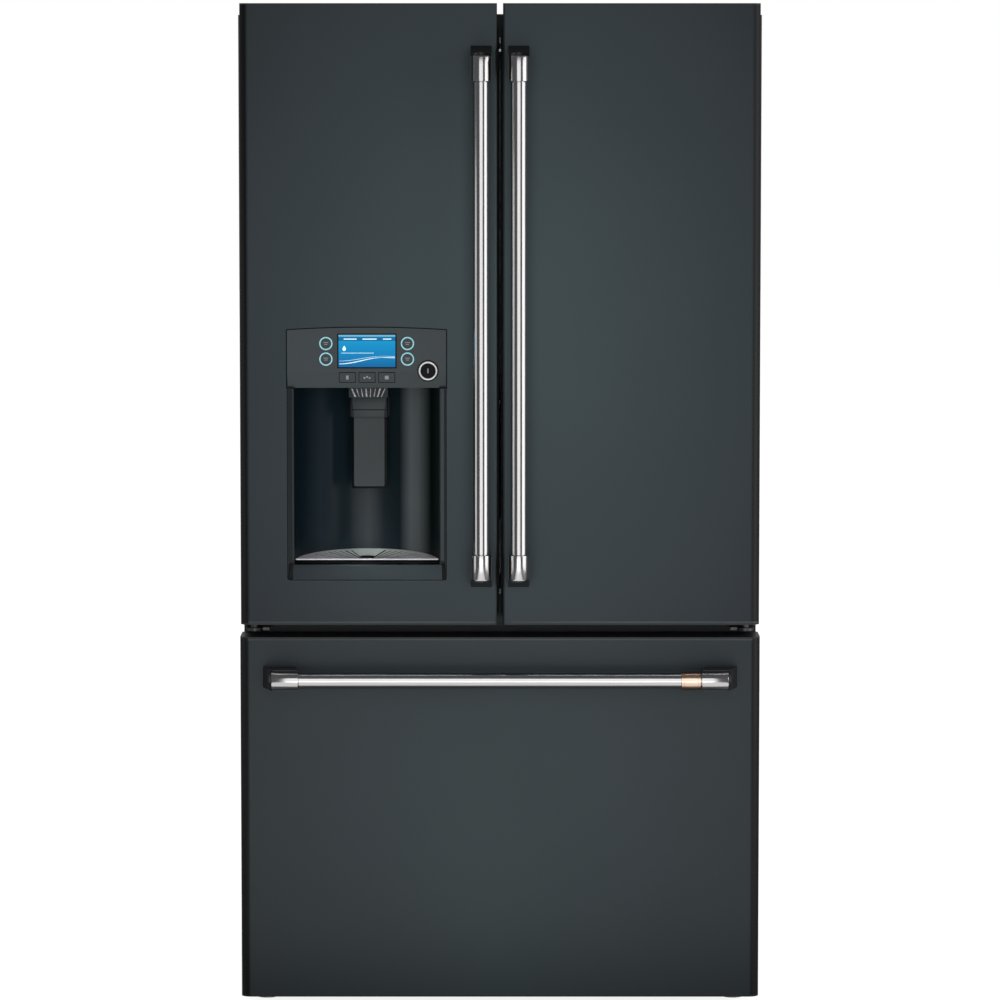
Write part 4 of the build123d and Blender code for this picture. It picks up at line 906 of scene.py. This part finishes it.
# ---- crisper and pan fronts ----
# A white moulded grip bar is clipped over the front rim of each clear drawer.
grip_front = -0.1605
grip_back = -0.1565
for name, x0, x1, z0, z1 in (("left_crisper_grip", -0.374, -0.018, 1.010, 1.0395),
                             ("right_crisper_grip", 0.018, 0.374, 1.010, 1.0395),
                             ("wide_pan_grip", -0.302, 0.302, 0.824, 0.8515)):
    grip = bevelled_block((x0, grip_front, z0), (x1, grip_back, z1), 0.0018, 3)
    finish_piece(grip, name, "cabinet", white_trim)


# ---- door bin rims ----
# Each clear door bin has a white rim bar along the edge that faces into the compartment.
for side, body, sign, levels in (("left", "left_door", -1, (0.870, 1.085)),
                                 ("right", "right_door", 1, (0.870, 1.090, 1.310, 1.530))):
    bins_low, bins_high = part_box(f"{side}_door_bins")
    for count, top in enumerate(levels):
        x0, x1 = sorted((bins_low.x + 0.014, bins_high.x - 0.014))
        rim_bar = bevelled_block((x0, bins_high.y - 0.0005, top - 0.0115),
                                 (x1, bins_high.y + 0.0012, top + 0.001), 0.0007, 2)
        finish_piece(rim_bar, f"{side}_bin_rim_{count + 1}", body, white_trim)


# ---- ceiling lamp ----
# A shallow frosted lamp is snapped into the ceiling of the fresh food compartment. Its frosted lens
# glows of its own.
lamp_glass = lit_finish("lamp_glass", (0.82, 0.86, 0.88), 0.4, (0.95, 0.98, 1.0), 0.35)
lamp_cells = pattern(lamp_glass, "ShaderNodeTexVoronoi", 260)
tint(lamp_glass, lamp_cells, (0.90, 0.93, 0.95), (0.72, 0.76, 0.78), 0.0, 0.8)
emboss(lamp_glass, lamp_cells, 0.2, 0.0004)
lamp_bed = bevelled_block((-0.170, -0.150, 1.6835), (0.170, -0.070, 1.6922), 0.0035, 4)
finish_piece(lamp_bed, "ceiling_lamp_bed", "cabinet", white_trim)
lamp_lens = bevelled_block((-0.155, -0.140, 1.6800), (0.155, -0.080, 1.6850), 0.002, 4)
finish_piece(lamp_lens, "ceiling_lamp_lens", "cabinet", lamp_glass)


# ---- back screws ----
# Hex washer head screws hold the back sheet to the case flanges, and the cover to the base.
panel_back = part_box("rear_panels")[1].y
first_screw = turned([(0.0068, 0), (0.0068, 0.0004), (0.0040, 0.0008), (0.0040, 0.0014), (0.0034, 0.0017)],
                     (0, 0, 0), "Y", 6)
head_finish = noise_finish("screw_zinc", (0.42, 0.43, 0.44), (0.60, 0.61, 0.62), (0.24, 0.36), 0.95,
                           300, 0.00005)
flange_x = 0.4385
cover_z = 0.232
top_flange_z = 1.732
screw_places = []
for x in (-flange_x, flange_x):
    for row in range(7):
        screw_places.append((x, 0.32 + row * 0.225))
for column in range(5):
    screw_places.append((-0.40 + column * 0.20, cover_z))
    screw_places.append((-0.40 + column * 0.20, top_flange_z))
screw_seat = panel_back - 0.0018
for count, (x, z) in enumerate(screw_places):
    clear_selection()
    first_screw.select_set(True)
    bpy.context.view_layer.objects.active = first_screw
    bpy.ops.object.duplicate(linked=False)
    screw = bpy.context.object
    screw.location = (x, screw_seat, z)
    finish_piece(screw, f"back_screw_{count + 1}", "cabinet", head_finish)
bpy.data.objects.remove(first_screw, do_unlink=True)


# ---- floor, light and camera ----
# A pale floor, a broad front light, tall lights at both sides, low lights that lift the drawer, a
# small one on the tray and a thin strip overhead. The camera stands square in front, a little high.
clear_selection()
bpy.ops.mesh.primitive_plane_add(size=60, location=(0, 0, 0))
floor = bpy.context.object
floor.name = "studio_floor"
floor_finish = noise_finish("studio_floor_paint", (0.50, 0.50, 0.50), (0.53, 0.53, 0.53), (0.6, 0.8), 0.0,
                            3, 0.0)
floor_shader = floor_finish.node_tree.nodes["Principled BSDF"]
floor_shader.inputs["Emission Color"].default_value = (1, 1, 1, 1)
floor_ray = floor_finish.node_tree.nodes.new("ShaderNodeLightPath")
floor_glow = floor_finish.node_tree.nodes.new("ShaderNodeMapRange")
floor_glow.inputs["To Min"].default_value = 0.05
floor_glow.inputs["To Max"].default_value = 0.86
floor_shade = floor_finish.node_tree.nodes.new("ShaderNodeMix")
floor_shade.data_type = "RGBA"
floor_shade.inputs["A"].default_value = (0.14, 0.14, 0.14, 1)
floor_finish.node_tree.links.new(floor_ray.outputs["Is Camera Ray"], floor_shade.inputs["Factor"])
floor_finish.node_tree.links.new(floor_finish.node_tree.nodes["Color Ramp"].outputs["Color"],
                                 floor_shade.inputs["B"])
floor_finish.node_tree.links.new(floor_shade.outputs["Result"], floor_shader.inputs["Base Color"])
floor_finish.node_tree.links.new(floor_ray.outputs["Is Camera Ray"], floor_glow.inputs["Value"])
floor_finish.node_tree.links.new(floor_glow.outputs["Result"], floor_shader.inputs["Emission Strength"])
floor.data.materials.append(floor_finish)


def soft_light(name, place, aim, width, tall, power, colour=(1, 1, 1)):
    """A rectangular studio light aimed at a point."""
    light = bpy.data.lights.new(name, "AREA")
    light.shape = "RECTANGLE"
    light.size = width
    light.size_y = tall
    light.energy = power
    light.color = colour
    lamp = bpy.data.objects.new(name, light)
    bpy.context.collection.objects.link(lamp)
    lamp.location = place
    direction = [a - b for a, b in zip(aim, place)]
    lamp.rotation_euler = Vector(direction).to_track_quat("-Z", "Y").to_euler()
    lamp.visible_camera = False
    return lamp


soft_light("front_light", (0.0, -3.6, 1.3), (0, -0.4, 1.1), 2.4, 2.8, 26)
soft_light("right_light", (2.6, -1.4, 1.2), (0, -0.45, 1.0), 2.3, 2.6, 30)
soft_light("left_light", (-2.6, -0.95, 0.75), (0, -0.45, 0.9), 1.1, 1.4, 4)
soft_light("floor_card", (0, -1.8, 0.03), (0, -1.8, 1.0), 2.4, 2.2, 13)
soft_light("low_front_light", (0, -2.4, 0.3), (0, -0.45, 0.08), 1.6, 0.4, 2.4)
tray_light = soft_light("tray_light", (tray_x, -1.5, 2.0), (tray_x, -0.33, 0.80), 0.12, 0.12, 0.026)
tray_light.data.spread = math.radians(6)
soft_light("top_strip", (0, -0.35, 3.4), (0, -0.44, 0.6), 2.6, 0.08, 2)

world = bpy.data.worlds.new("studio")
bpy.context.scene.world = world
world.use_nodes = True
nodes, links = world.node_tree.nodes, world.node_tree.links
room = nodes["Background"]
white = nodes.new("ShaderNodeBackground")
white.inputs["Color"].default_value = (1, 1, 1, 1)
white.inputs["Strength"].default_value = 1.0
where = nodes.new("ShaderNodeTexCoord")
sides = nodes.new("ShaderNodeSeparateXYZ")
walls = nodes.new("ShaderNodeValToRGB")
walls.color_ramp.elements[0].position = 0.0
walls.color_ramp.elements[0].color = (0.11, 0.11, 0.115, 1)
walls.color_ramp.elements[1].position = 0.55
walls.color_ramp.elements[1].color = (0.75, 0.75, 0.76, 1)
ray = nodes.new("ShaderNodeLightPath")
mix = nodes.new("ShaderNodeMixShader")
links.new(where.outputs["Generated"], sides.inputs["Vector"])
links.new(sides.outputs["Y"], walls.inputs["Fac"])
links.new(walls.outputs["Color"], room.inputs["Color"])
links.new(ray.outputs["Is Camera Ray"], mix.inputs["Fac"])
links.new(room.outputs["Background"], mix.inputs[1])
links.new(white.outputs["Background"], mix.inputs[2])
links.new(mix.outputs["Shader"], nodes["World Output"].inputs["Surface"])

scene = bpy.context.scene
scene.view_settings.view_transform = "Standard"
camera_data = bpy.data.cameras.new("camera")
camera = bpy.data.objects.new("camera", camera_data)
scene.collection.objects.link(camera)
scene.camera = camera
distance = 8.0
eye = Vector((0, door_face - distance, 1.60))
aim = Vector((0, door_face, 0.9005))
camera.location = eye
camera.rotation_euler = (aim - eye).to_track_quat("-Z", "Y").to_euler()
camera_data.sensor_width = 36
camera_data.lens = 166.2
